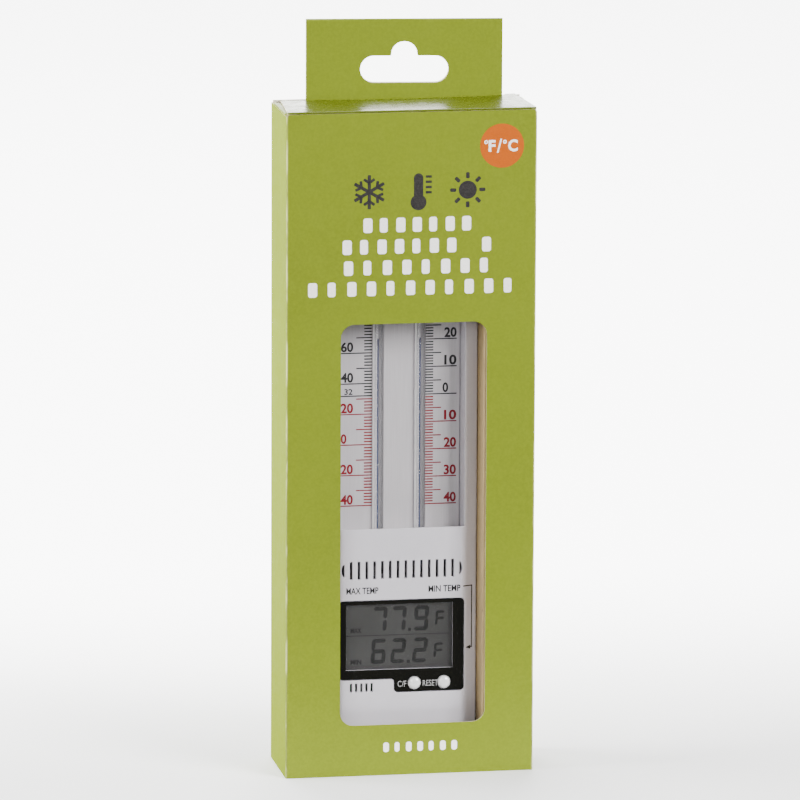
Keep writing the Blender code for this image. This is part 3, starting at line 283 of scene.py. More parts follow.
def glass_finish(name):
    """Clear drawn glass, with faint lengthwise drawing lines, a painted highlight down the left of
    each tube and painted shade down its right, in place of how the bore bends light as a lens.
    """
    glass = Finish(name, Roughness=0.03, IOR=1.47, Alpha=0.30)
    draw = glass.noise(1500, 2, (1, 1, 0.01))
    across = glass.math("SUBTRACT", glass.axis("X"), CASE_MIDDLE - 11.5 * MM)
    across = glass.math("MODULO", across, TUBE_PITCH)
    wall = glass.mix(glass.span(draw, 0.3, 0.7), (0.36, 0.35, 0.36), (0.44, 0.42, 0.42))
    # Painted shade: a dark band down the right of each tube.
    wall = glass.mix(glass.span(across, 4.1 * MM, 4.7 * MM), wall, (0.10, 0.10, 0.10))
    # Painted highlight: a near white band down the left of each tube.
    near = glass.span(across, 2.1 * MM, 2.7 * MM, 1.0, 0.0)
    glass.paint(glass.mix(near, wall, (0.95, 0.95, 0.95)))
    # The painted highlight is made more opaque than the rest of the glass.
    clear = glass.span(across, 2.1 * MM, 2.8 * MM, 0.75, 0.28)
    middle = glass.math("ABSOLUTE", glass.math("SUBTRACT", across, 3.8 * MM))
    strip = glass.span(middle, 0.35 * MM, 0.7 * MM, 0.1, 1.0)
    glass.drive("Alpha", glass.math("MULTIPLY", clear, strip))
    glass.wear(600, 2, 0.02, 0.06)
    glass.bump(draw, 0.001 * MM, 0.1)


def mask_finish(name):
    """Polished black plastic of the display mask, with fine swirl marks and dust."""
    mask = Finish(name, Roughness=0.09, Specular_IOR_Level=0.3)
    mask.soften(0.12 * MM)
    dust = mask.span(mask.noise(2400, 2), 0.70, 0.76)
    mask.paint(mask.mix(dust, (0.003, 0.003, 0.002), (0.03, 0.03, 0.03)))
    mask.wear(240, 4, 0.06, 0.17, 0.3, 0.75, (1, 1, 0.3))
    mask.bump(mask.noise(150, 2), 0.006 * MM, 0.3)


def screen_finish(name):
    """Grey polarised face of the display glass, with painted shade that darkens it towards the
    right.
    """
    tint = chosen("thermometer.screen")
    screen = Finish(name, Roughness=0.32, Coat_Weight=0.3, Coat_Roughness=0.08)
    grain = screen.noise(5200, 2)
    right = screen.span(screen.axis("X"), GLASS_LOW.x, GLASS_HIGH.x)
    base = screen.tone(grain, tint, 0.95, 1.05)
    # Painted shade: the screen turns darker towards its right end.
    screen.paint(screen.mix(screen.math("MULTIPLY", right, 0.35), base, shade(tint, 0.72)))
    screen.bump(grain, 0.003 * MM, 0.3)


def zebra_finish(name):
    """Striped conductive rubber between the display and its board."""
    zebra = Finish(name, Roughness=0.8)
    stripes = zebra.add("ShaderNodeTexWave", {"Vector": zebra.place, "Scale": 900.0},
                        bands_direction="X").outputs["Fac"]
    stripes = zebra.span(stripes, 0.45, 0.55)
    zebra.paint(zebra.mix(stripes, (0.34, 0.10, 0.10), (0.02, 0.02, 0.02)))
    zebra.bump(zebra.noise(1500, 3), 0.02 * MM, 0.5)


def circuit_finish(name):
    """Green solder mask over copper traces."""
    circuit = Finish(name, Roughness=0.35, Coat_Weight=0.4, Coat_Roughness=0.15)
    cells = circuit.add("ShaderNodeTexVoronoi", {"Vector": circuit.place, "Scale": 420.0},
                        distance="MANHATTAN", feature="F1").outputs["Distance"]
    trace = circuit.span(cells, 0.34, 0.40)
    mask = circuit.mix(trace, (0.012, 0.105, 0.040), (0.030, 0.190, 0.075))
    cloud = circuit.span(circuit.noise(60, 2), 0.4, 0.7, 0.0, 0.3)
    circuit.paint(circuit.mix(cloud, mask, (0.010, 0.075, 0.030)))
    circuit.bump(trace, 0.03 * MM, 0.6)


def epoxy_finish(name):
    """Black epoxy blob with a few pits."""
    epoxy = Finish(name, Roughness=0.25)
    pits = epoxy.span(epoxy.noise(1500, 3), 0.30, 0.40)
    epoxy.paint(epoxy.mix(pits, (0.004, 0.004, 0.004), (0.014, 0.013, 0.012)))
    epoxy.wear(500, 2, 0.18, 0.34)
    epoxy.bump(pits, 0.05 * MM, 0.5)


def steel_finish(name):
    """Bright steel with short turning marks."""
    steel = Finish(name, Roughness=0.28, Metallic=1.0)
    marks = steel.noise(4200, 3, (1, 0.1, 1), 0.7)
    steel.paint(steel.mix(steel.span(marks, 0.3, 0.7), (0.42, 0.42, 0.43), (0.62, 0.62, 0.63)))
    steel.wear(1200, 3, 0.20, 0.38)
    steel.bump(marks, 0.006 * MM, 0.5)


def grained(name, tint, shades, grain, bump, wear=(), cloud=(), soft=0.0, spread=(), **values):
    """A finish whose tint follows a fine grain between two shades. The bump is the grain's
    depth in millimetres and its strength. A cloud is a noise's scale and detail, the range
    of it that counts, how much it covers and its shade."""
    made = Finish(name, **values)
    tint = chosen(tint) if isinstance(tint, str) else tint
    if soft:
        made.soften(soft)
    pattern = made.noise(*grain)
    base = made.tone(pattern, tint, *shades, *spread)
    if cloud:
        scale, detail, low, high, most, amount = cloud
        cover = made.span(made.noise(scale, detail), low, high, 0.0, most)
        base = made.mix(cover, base, shade(tint, amount))
    made.paint(base)
    if wear:
        made.wear(*wear)
    made.bump(pattern, bump[0] * MM, bump[1])


def ink(tint, roughness=0.45, uneven=0.06):
    """Printed ink with a fine uneven cover."""
    return {"tint": tint, "shades": (1 - uneven, 1 + uneven), "bump": (0.003, 0.4),
            "grain": (2200, 3, (1, 1, 1), 0.7), "Specular_IOR_Level": 0.2,
            "wear": (800, 2, roughness - 0.06, roughness + 0.06), "Roughness": roughness}


GRAINED = {
    # Pale inside of the board, and its raw cut edge
    "board_inside": {"tint": "carton.lining", "shades": (0.82, 1.1), "bump": (0.02, 0.6),
                     "grain": (1800, 5, (1, 1, 0.15), 0.7), "Roughness": 0.9},
    "board_edge": {"tint": "carton.cut_edge", "shades": (0.75, 1.15), "bump": (0.03, 0.7),
                   "grain": (3000, 4, (1, 1, 1), 0.8), "Roughness": 0.85},
    # Brown board with long fibres and darker flecks
    "kraft_brown": {"tint": "carton.kraft", "shades": (0.78, 1.15), "bump": (0.03, 0.7),
                    "grain": (900, 5, (1, 1, 0.08), 0.75), "Roughness": 0.88,
                    "cloud": (700, 2, 0.68, 0.76, 0.5, 0.45)},
    # Inks of the carton, the scales, the mask and the display
    "title_white": ink("carton.title_white"),
    "charcoal_ink": ink("carton.charcoal", 0.5, 0.5),
    "badge_orange": ink("carton.orange", 0.4),
    "scale_black": ink("thermometer.black", 0.5, 0.2),
    "scale_red": ink("thermometer.red", 0.5, 0.12),
    "label_grey": ink((0.30, 0.30, 0.30), 0.5, 0.08),
    "display_segment": ink("thermometer.segment", 0.35, 0.1),
    # Satin silver paint on moulded plastic
    "case_silver": {"tint": "thermometer.silver", "shades": (0.93, 1.07), "bump": (0.004, 0.5),
                    "grain": (5200, 2, (1, 1, 1), 0.8), "spread": (0.25, 0.75),
                    "cloud": (45, 3, 0.4, 0.7, 0.2, 0.92), "wear": (300, 3, 0.31, 0.42),
                    "soft": 0.35 * MM, "Roughness": 0.36, "Metallic": 0.25,
                    "Coat_Weight": 0.15, "Coat_Roughness": 0.25},
    # Satin foil of the scale plate, with a faint upright grain
    "plate_silver": {"tint": "thermometer.plate", "shades": (0.95, 1.05), "bump": (0.001, 0.2),
                     "grain": (2600, 3, (1, 1, 0.02), 0.6), "wear": (500, 2, 0.36, 0.46),
                     "cloud": (40, 2, 0.4, 0.7, 0.15, 0.9), "Roughness": 0.40,
                     "Metallic": 0.25},
    # Dark blue spirit, the clear window and the black strap
    "blue_spirit": {"tint": "thermometer.spirit", "shades": (0.8, 1.2), "bump": (0.01, 0.2),
                    "grain": (120, 2), "Roughness": 0.35, "Specular_IOR_Level": 0.2},
    "clear_window": {"tint": (0.04, 0.04, 0.04), "shades": (0.75, 1.25), "bump": (0.01, 0.15),
                     "grain": (90, 2), "wear": (350, 3, 0.015, 0.05, 0.4, 0.8),
                     "Roughness": 0.02, "IOR": 1.49, "Alpha": 0.16},
    "strap_black": {"tint": (0.016, 0.016, 0.016), "shades": (0.625, 1.375),
                    "grain": (2500, 3), "bump": (0.01, 0.5), "Roughness": 0.45},
    # Silver white satin of the buttons
    "button_silver": {"tint": (0.64, 0.64, 0.64), "shades": (0.9375, 1.0625),
                      "grain": (6000, 2), "bump": (0.004, 0.4), "wear": (900, 2, 0.24, 0.34),
                      "Roughness": 0.28, "Metallic": 0.1, "Coat_Weight": 0.4,
                      "Coat_Roughness": 0.12},
}

PATTERNED = {"drawn_glass": glass_finish, "gloss_black": mask_finish,
             "display_screen": screen_finish, "zebra_stripes": zebra_finish,
             "circuit_green": circuit_finish, "black_epoxy": epoxy_finish,
             "bright_steel": steel_finish}
# Roughness, two strengths of the highlights and darkness. The lid was varnished twice. The lid's
# darkness of one half is painted shade, for the shade that the hang tab casts on it.
GREENS = {"green_print": (0.42, 0.28, 1.5, 1.0), "green_lid": (0.24, 0.5, 1.36, 0.5)}


def finish(name):
    """The finished material of that name, made on first use."""
    if name not in bpy.data.materials:
        if name in GREENS:
            green_board(name, *GREENS[name])
        elif name in GRAINED:
            grained(name, **GRAINED[name])
        else:
            PATTERNED[name](name)
    return bpy.data.materials[name]


def dress(node, material):
    """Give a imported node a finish."""
    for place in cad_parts[node].material_slots:
        place.material = finish(material)


# Shapes

def placed(name, data):
    """A new object in the scene."""
    made = bpy.data.objects.new(name, data)
    bpy.context.scene.collection.objects.link(made)
    return made


def meshed(name, shape):
    """A mesh made of a shape, which is used up."""
    mesh = bpy.data.meshes.new(name)
    shape.to_mesh(mesh)
    shape.free()
    return mesh


def pull(shape, raised, vec):
    """Move the corners that an extrusion raised, and return them."""
    moved = [item for item in raised["geom"] if isinstance(item, bmesh.types.BMVert)]
    bmesh.ops.translate(shape, verts=moved, vec=vec)
    return moved


def weld(shape, near):
    """Join corners that stand nearer to each other than that."""
    bmesh.ops.remove_doubles(shape, verts=shape.verts, dist=near)


def smooth(shape):
    """Shade a shape's faces as one smooth surface."""
    for face in shape.faces:
        face.smooth = True


def finished_piece(name, shape, materials, body, stands_for=()):
    """Turn a shape into a piece that rides on a body, with its place in its mesh."""
    mesh = meshed(name, shape)
    for material in materials:
        mesh.materials.append(finish(material))
    piece = placed(name, mesh)
    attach(piece, body)
    if stands_for:
        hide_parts(*stands_for)
    return piece


def outline(shape, corners, place):
    """Fill an outline of (across, up, radius) corners and round its corners. place turns a
    corner's two numbers into a point."""
    points = [shape.verts.new(place(across, up)) for across, up, _ in corners]
    shape.faces.new(points)
    for radius in sorted({radius for _, _, radius in corners if radius}):
        turned = [point for point, corner in zip(points, corners) if corner[2] == radius]
        bmesh.ops.bevel(shape, geom=turned, offset=radius, offset_type="OFFSET",
                        affect="VERTICES", segments=6, profile=0.5, material=-1)
        shape.faces.ensure_lookup_table()


def rectangle(left, right, low, high, radius=0.0):
    """The corners of a rectangle."""
    return [(left, low, radius), (right, low, radius), (right, high, radius),
            (left, high, radius)]


def stepped(left, right, low, step, high):
    """The corners of a rectangle, with one more on each side where a lower wall ends."""
    return [(left, low, 0), (right, low, 0), (right, step, 0), (right, high, 0),
            (left, high, 0), (left, step, 0)]


def upright(depth):
    """Places an outline on the plane at that depth, facing the front."""
    return lambda across, up: (across, depth, up)


def pierced(outer, inner, place):
    """A flat shape with one opening, as triangles."""
    shape = bmesh.new()
    outline(shape, outer, place)
    outline(shape, inner, place)
    weld(shape, 0.0005 * MM)
    bmesh.ops.delete(shape, geom=shape.faces[:], context="FACES_ONLY")
    bmesh.ops.triangle_fill(shape, use_beauty=True, edges=shape.edges[:])
    return shape


def add_path(shape, points):
    """Add edges along a row of points."""
    row = [shape.verts.new(point) for point in points]
    return [shape.edges.new(pair) for pair in zip(row, row[1:])]


def add_strip(shape, path, low, high, curved=False):
    """Raise an upright strip along a path of (x, y) points."""
    edges = add_path(shape, [(x, y, low) for x, y in path])
    raised = bmesh.ops.extrude_edge_only(shape, edges=edges)
    pull(shape, raised, (0, 0, high - low))
    for item in raised["geom"]:
        if isinstance(item, bmesh.types.BMFace):
            item.smooth = curved


def arc(centre, radius, start, end, steps=6):
    """Points on an arc in a level plane."""
    angles = [start + (end - start) * step / steps for step in range(steps + 1)]
    return [(centre[0] + radius * cos(angle), centre[1] + radius * sin(angle))
            for angle in angles]


def facing_out(shape, centre):
    """Turn a sheet's faces away from a point inside it."""
    shape.normal_update()
    for face in shape.faces:
        if (face.calc_center_median() - Vector(centre)).dot(face.normal) < 0:
            face.normal_flip()


def board_piece(name, shape, thickness, body, stands_for,
                printed="green_print", lining="board_inside", edge="board_edge"):
    """Give a sheet its board thickness, with a lining and raw edges."""
    names = [printed, lining, edge]
    piece = finished_piece(name, shape, names, body, stands_for)
    wall = piece.modifiers.new("board", "SOLIDIFY")
    wall.thickness = thickness
    wall.offset = -1.0
    wall.use_even_offset = True
    wall.material_offset = 1
    wall.material_offset_rim = 2
    return piece


def plate_shape(shape, corners, front, back):
    """Add a flat solid whose outline stands between two depths."""
    made = bmesh.new()
    outline(made, corners, upright(back))
    raised = bmesh.ops.extrude_face_region(made, geom=made.faces[:])
    pull(made, raised, (0, front - back, 0))
    bmesh.ops.recalc_face_normals(made, faces=made.faces)
    add_shape(shape, made)


def add_block(shape, sides, face, thickness=INK):
    """Add a flat printed block, its left, right, low, high and corner radius in millimetres."""
    plate_shape(shape, rectangle(*(side * MM for side in sides)), face - thickness, face)


def add_shape(shape, made, turn=None):
    """Move one shape into another."""
    if turn:
        bmesh.ops.transform(made, matrix=turn, verts=made.verts)
    mesh = meshed("moved", made)
    shape.from_mesh(mesh)
    bpy.data.meshes.remove(mesh)


def add_bar(shape, left, right, low, high, face):
    """Add a thin printed bar that stands in front of a face."""
    middle = Vector(((left + right) / 2, face - INK / 2, (low + high) / 2))
    size = Matrix.Diagonal((right - left, INK, high - low, 1.0))
    bmesh.ops.create_cube(shape, size=1.0, matrix=Matrix.Translation(middle) @ size)


def add_lettering(shape, text, left, low, height, face, width, weight=0.02):
    """Add generic lettering of a height and a width in front of a face."""
    curve = bpy.data.curves.new("lettering", "FONT")
    curve.body = text
    curve.size = 1.0
    curve.resolution_u = 3
    curve.offset = weight
    curve.extrude = 0.01
    written = placed("lettering", curve)
    state = bpy.context.evaluated_depsgraph_get()
    mesh = bpy.data.meshes.new_from_object(written.evaluated_get(state))
    bpy.data.objects.remove(written)
    bpy.data.curves.remove(curve)
    letters = bmesh.new()
    letters.from_mesh(mesh)
    bpy.data.meshes.remove(mesh)
    weld(letters, 0.0005)
    xs = [point.co.x for point in letters.verts]
    ys = [point.co.y for point in letters.verts]
    tall = height / (max(ys) - min(ys))
    wide = width / (max(xs) - min(xs))
    for point in letters.verts:
        across, up, out = point.co
        point.co = (left + (across - min(xs)) * wide, face - INK / 2 - out * INK / 0.02,
                    low + (up - min(ys)) * tall)
    bmesh.ops.recalc_face_normals(letters, faces=letters.faces)
    add_shape(shape, letters)


def lay_on(shape, node):
    """Move a printed shape so that it follows a node's front."""
    target = BVHTree.FromObject(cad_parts[node], bpy.context.evaluated_depsgraph_get())
    for point in shape.verts:
        out = point.co.y
        hit = target.ray_cast(Vector((point.co.x, -1.0, point.co.z)), Vector((0, 1, 0)))[0]
        if hit is None:
            raise RuntimeError("printed detail lies outside " + node)
        point.co.y = hit.y + out


def spun(profile, centre, axis=(0, 0, 1), steps=48):
    """Spin a row of points round an axis into a closed smooth shape."""
    shape = bmesh.new()
    add_path(shape, profile)
    bmesh.ops.spin(shape, geom=shape.verts[:] + shape.edges[:], cent=centre, axis=axis,
                   angle=tau, steps=steps, use_merge=True)
    weld(shape, 0.0005 * MM)
    bmesh.ops.recalc_face_normals(shape, faces=shape.faces)
    smooth(shape)
    return shape


# Carton

def lid_drop(x, y, sag):
    """How far the lid sinks at a place."""
    back = max(0.0, (y - SLEEVE_LOW.y) / (SLEEVE_HIGH.y - SLEEVE_LOW.y)) ** 1.6
    across = cos(max(-1.0, min(1.0, (x + 2 * MM) / (52 * MM))) * pi / 2) ** 0.7
    left = max(0.0, -x / SLEEVE_HIGH.x) ** 3
    return sag * back * (0.35 * left + across)


def sheet_grid(xs, ys, height):
    """A level grid on given lines."""
    shape = bmesh.new()
    bmesh.ops.create_grid(shape, x_segments=len(xs) - 1, y_segments=len(ys) - 1, size=1.0)
    for point in shape.verts:
        column = round((point.co.x + 1) / 2 * (len(xs) - 1))
        row = round((point.co.y + 1) / 2 * (len(ys) - 1))
        point.co = (xs[column], ys[row], height)
    return shape


def lines(start, end, count):
    """Evenly spaced places from start to end."""
    return [start + (end - start) * step / count for step in range(count + 1)]


class BuildSleeve(Operator):
    """The four walls of the carton, folded from one sheet, with the window and a glue flap"""

    bl_idname = "thermometer.build_sleeve"
    bl_label = "Carton sleeve"

    def execute(self, context):
        carton = context.scene.carton_settings
        left, right = SLEEVE_LOW.x, SLEEVE_HIGH.x
        front, back = SLEEVE_LOW.y, SLEEVE_HIGH.y
        low, high = SLEEVE_LOW.z, SLEEVE_HIGH.z
        side_top = high - carton.board - 0.3 * MM
        round_ = carton.crease
        window = rectangle(*(side * MM for side in WINDOW))
        shape = pierced(stepped(left + round_, right - round_, low, side_top, high), window,
                        upright(front))
        outline(shape, stepped(left + round_, right, low, side_top, high), upright(back))
        inner = back - carton.board - 0.02 * MM
        for x, y, start, end in ((left + round_, front + round_, 1.5 * pi, pi),
                                 (left + round_, back - round_, pi, 0.5 * pi),
                                 (right - round_, front + round_, 1.5 * pi, tau),
                                 (right - round_, inner - round_, 0, 0.5 * pi)):
            add_strip(shape, arc((x, y), round_, start, end), low, side_top, True)
        for wall in ([(left, front + round_), (left, back - round_)],
                     [(right, front + round_), (right, inner - round_)],
                     [(right - round_, inner), (right - GLUE_FLAP, inner)]):
            add_strip(shape, wall, low, side_top)
        weld(shape, 0.002 * MM)
        facing_out(shape, (0, 0, high / 2))
        board_piece("sleeve_board", shape, carton.board - 0.01 * MM, "carton",
                    ["carton_sleeve"])
        dress("carton_bottom", "green_print")
        return {"FINISHED"}


def slot_corners(low):
    """The outline of the hang slot, a round ended slot with a raised middle."""
    middle, half, rise, bump, end = SLOT_MIDDLE, 16.2 * MM, 9.9 * MM, 4.8 * MM, 4.93 * MM
    top = low + rise + 5.2 * MM
    return [(middle - half, low, end), (middle + half, low, end),
            (middle + half, low + rise, end), (middle + bump, low + rise, 0.5 * MM),
            (middle + bump, top, 4.6 * MM), (middle - bump, top, 4.6 * MM),
            (middle - bump, low + rise, 0.5 * MM), (middle - half, low + rise, end)]


class BuildHangTab(Operator):
    """The hang tab, folded over at its top into two layers with a slot through both"""

    bl_idname = "thermometer.build_hang_tab"
    bl_label = "Hang tab"

    def execute(self, context):
        carton = context.scene.carton_settings
        left, right = TAB_LOW.x, TAB_HIGH.x
        half = (TAB_HIGH.y - TAB_LOW.y) / 2
        fold = TAB_HIGH.z - half
        shape = pierced(rectangle(left, right, TAB_LOW.z - TAB_FOOT, fold),
                        slot_corners(SLOT_FOOT), upright(TAB_LOW.y))
        add_shape(shape, pierced(rectangle(left, right, SLEEVE_HIGH.z, fold),
                                 slot_corners(SLOT_FOOT + 0.25 * MM), upright(TAB_HIGH.y)))
        bend = bmesh.new()
        add_strip(bend, arc((-fold, TAB_LOW.y + half), half, -0.5 * pi, -1.5 * pi, 10), left,
                  right, True)
        add_shape(shape, bend, Matrix.Rotation(pi / 2, 4, "Y"))
        weld(shape, 0.002 * MM)
        facing_out(shape, (SLOT_MIDDLE, TAB_LOW.y + half, fold - 8 * MM))
        for point in shape.verts:
            share = min(1.0, max(0.0, point.co.z - SLEEVE_HIGH.z) / (5.5 * MM))
            point.co.z -= TAB_SLANT * (point.co.x - left) * share
        board_piece("hang_tab_board", shape, carton.board - 0.015 * MM, "carton", ["hang_tab"])
        return {"FINISHED"}


class BuildLid(Operator):
    """The lid, sunk a little in front of the hang tab, with its tuck flap and dust flaps"""

    bl_idname = "thermometer.build_lid"
    bl_label = "Lid and flaps"

    def execute(self, context):
        carton = context.scene.carton_settings
        front, ears = SLEEVE_LOW.y, LID_HIGH.y
        inner_left, inner_right = TAB_LOW.x - EAR_GAP, TAB_HIGH.x + EAR_GAP
        start, end = inner_left / LID_HIGH.x, inner_right / LID_HIGH.x
        bend = carton.crease
        crease = TUCK_HIGH.y - bend
        xs = lines(-1, start, 4) + lines(start, end, 36)[1:] + lines(end, 1, 3)[1:]
        ys = [front + bend * (1 - cos(step * pi / 10)) for step in range(5)]
        ys += lines(front + bend, crease, 14) + [ears]
        top = LID_HIGH.z - 0.02 * MM
        shape = sheet_grid(xs, ys, top)
        notch = [face for face in shape.faces if face.calc_center_median().y > crease
                 and start < face.calc_center_median().x < end]
        bmesh.ops.delete(shape, geom=notch, context="FACES")
        for point in shape.verts:
            across, y, _ = point.co
            share = (y - front) / (ears - front)
            x = across * (LID_HIGH.x - share * (1.6 if across > 0 else 3.0) * MM)
            if abs(across) < 0.9:
                x = across * LID_HIGH.x
            fold = max(0.0, front + bend - y)
            point.co = (x, y, top - bend + (bend ** 2 - fold ** 2) ** 0.5
                        - lid_drop(x, y, carton.lid_sag))
        self.fold_back(shape, crease, inner_left, inner_right, bend)
        smooth(shape)
        facing_out(shape, (0, 0, 0))
        # The lid's green is darkened as painted shade, for the hang tab's shade on it.
        board_piece("lid_board", shape, carton.board - 0.02 * MM, "lid", ["carton_lid"],
                    "green_lid")
        self.build_tuck_flap(carton)
        for side in (-1, 1):
            self.build_dust_flap(carton, side)
        return {"FINISHED"}

    def fold_back(self, shape, crease, left, right, bend):
        """Turn the lid's back edge down between its ears, where the tuck flap begins."""
        edges = [edge for edge in shape.edges if edge.is_boundary
                 and all(abs(point.co.y - crease) < 0.01 * MM
                         and left - 0.01 * MM < point.co.x < right + 0.01 * MM
                         for point in edge.verts)]
        for step in range(4):
            start, end = step * pi / 8, (step + 1) * pi / 8
            raised = bmesh.ops.extrude_edge_only(shape, edges=edges)
            moved = pull(shape, raised, (0, bend * (sin(end) - sin(start)),
                                         bend * (cos(end) - cos(start))))
            edges = [item for item in raised["geom"] if isinstance(item, bmesh.types.BMEdge)
                     and all(point in moved for point in item.verts)]

    def build_tuck_flap(self, carton):
        """The flap that goes down inside the back wall."""
        high = LID_HIGH.z - carton.crease - 0.06 * MM
        corners = [(TUCK_LOW.x, TUCK_LOW.z, 6 * MM), (TUCK_HIGH.x, TUCK_LOW.z, 6 * MM)]
        for x in lines(TUCK_HIGH.x, TUCK_LOW.x, 16):
            corners.append((x, high - lid_drop(x, TUCK_HIGH.y - carton.crease, carton.lid_sag), 0))
        shape = bmesh.new()
        outline(shape, corners, upright(TUCK_HIGH.y))
        facing_out(shape, (0, 0, 0))
        board_piece("tuck_flap_board", shape, carton.board, "tuck_flap", ["lid_tuck_flap"])

    def build_dust_flap(self, carton, side):
        """One of the two flaps under the lid."""
        name = "dust_flap_left" if side < 0 else "dust_flap_right"
        low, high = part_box(name)
        root, tip = (SLEEVE_LOW.x, high.x) if side < 0 else (SLEEVE_HIGH.x, low.x)
        bend = carton.crease
        xs = [root - side * bend * (1 - cos(step * pi / 10)) for step in range(5)]
        xs += lines(root - side * bend, tip, 8)
        shape = sheet_grid(xs, lines(low.y, high.y, 8), high.z)
        for point in shape.verts:
            out = abs(point.co.x - root) / abs(tip - root)
            fold = max(0.0, bend - abs(point.co.x - root))
            if out > 0.5:
                middle = (low.y + high.y) / 2 - 1 * MM
                point.co.y = middle + (point.co.y - middle) * (1 - 0.35 * (out - 0.5))
            point.co.z += (bend ** 2 - fold ** 2) ** 0.5 - bend
            point.co.z -= lid_drop(point.co.x, point.co.y, carton.lid_sag) * 1.02 * min(1, out * 4)
        smooth(shape)
        facing_out(shape, (0, 0, 0))
        body = "left_dust_flap" if side < 0 else "right_dust_flap"
        board_piece(name + "_board", shape, carton.board - 0.02 * MM, body, [name])


class BuildInsert(Operator):
    """The brown board channel that centres the thermometer, folded from one strip"""

    bl_idname = "thermometer.build_insert"
    bl_label = "Insert"

    def execute(self, context):
        carton = context.scene.carton_settings
        bend = carton.crease
        left, right = CASE_LOW.x - INSERT_GAP, CASE_HIGH.x + INSERT_GAP
        face, web = INSERT_LOW.y, INSERT_HIGH.y - carton.board
        path = [(INSERT_LOW.x, face)]
        path += arc((left - bend, face + bend), bend, -0.5 * pi, 0)
        path += arc((left + bend, web - bend), bend, pi, 0.5 * pi)
        path += arc((right - bend, web - bend), bend, 0.5 * pi, 0)
        path += arc((right + bend, face + bend), bend, pi, 1.5 * pi)
        path.append((INSERT_HIGH.x, face))
        shape = bmesh.new()
        add_strip(shape, path, INSERT_LOW.z, INSERT_HIGH.z, True)
        bmesh.ops.recalc_face_normals(shape, faces=shape.faces)
        shape.faces.ensure_lookup_table()
        if shape.faces[0].normal.y > 0:
            bmesh.ops.reverse_faces(shape, faces=shape.faces)
        board_piece("insert_board", shape, carton.board - 0.01 * MM, "carton",
                    ["carton_insert"], "kraft_brown", "kraft_brown",
                    "kraft_brown")
        return {"FINISHED"}


class PrintTitle(Operator):
    """White blocks in place of the title and the bottom word, and charcoal pictograms"""

    bl_idname = "thermometer.print_title"
    bl_label = "Carton print"

    def execute(self, context):
        face = SLEEVE_LOW.y
        self.print_blocks(face)
        self.print_pictograms(face)
        return {"FINISHED"}

    def print_blocks(self, face):
        """Rows of rounded blocks, one for each letter's room."""
        rows = [
            (-17.6, 21.6, 199.8, 5.3, [7], 3.3),
            (-25.1, 28.9, 192.0, 5.3, [7, 1], 3.3),
            (-24.6, 28.2, 184.4, 5.3, [8], 3.3),
            (-37.6, 36.9, 176.8, 5.3, [11], 3.3),
            (-9.7, 17.5, 8.6, 3.6, [7], 2.1),
        ]
        shape = bmesh.new()
        for left, right, low, height, groups, width in rows:
            rooms = sum(groups) + len(groups) - 1
            pitch = (right - left - width) / (rooms - 1)
            place = 0
            for group in groups:
                for number in range(place, place + group):
                    start = left + pitch * number
                    narrow = width * (0.86 if number % 3 == 1 else 1.0)
                    add_block(shape, (start, start + narrow, low, low + height, 0.9), face)
                place += group + 1
        finished_piece("title_blocks", shape, ["title_white"], "carton")

    def print_pictograms(self, face):
        """A snowflake, a thermometer and a sun, as plain signs for cold, measuring and heat."""
        shape = bmesh.new()
        for centre, arms in ((-15.5, 6), (20.3, 8)):
            for arm in range(arms):
                turn = self.about(centre, SIGNS, arm * tau / arms)
                part = bmesh.new()
                if arms == 6:
                    add_block(part, (-0.6, 0.6, 1.0, 6.2, 0.3), face)
                    for side in (-1, 1):
                        barb = bmesh.new()
                        add_block(barb, (-0.5, 0.5, 0, 2.4, 0.3), face, INK * 1.1)
                        lean = Matrix.Translation((0, 0, 3.3 * MM))
                        add_shape(part, barb, lean @ Matrix.Rotation(side * 0.95, 4, "Y"))
                else:
                    add_block(part, (-0.65, 0.65, 4.2, 6.4, 0.4), face)
                add_shape(shape, part, turn)
        for x, z, radius in ((20.3, SIGNS, 3.3), (-15.5, SIGNS, 1.25), (2.4, 210.5, 2.9)):
            disc = bmesh.new()
            add_block(disc, (-radius, radius, -radius, radius, 0.997 * radius), face, INK * 1.2)
            add_shape(shape, disc, self.about(x, z, 0))
        add_block(shape, (0.7, 4.1, 210.4, 221.0, 1.69), face)
        for step in range(4):
            add_bar(shape, 5.0 * MM, 7.2 * MM, (213.6 + step * 1.9) * MM,
                    (214.5 + step * 1.9) * MM, face)
        finished_piece("pictograms", shape, ["charcoal_ink"], "carton")

    def about(self, x, z, angle):
        """Turn a part in the front's plane and put it at a place."""
        return Matrix.Translation((x * MM, 0, z * MM)) @ Matrix.Rotation(angle, 4, "Y")


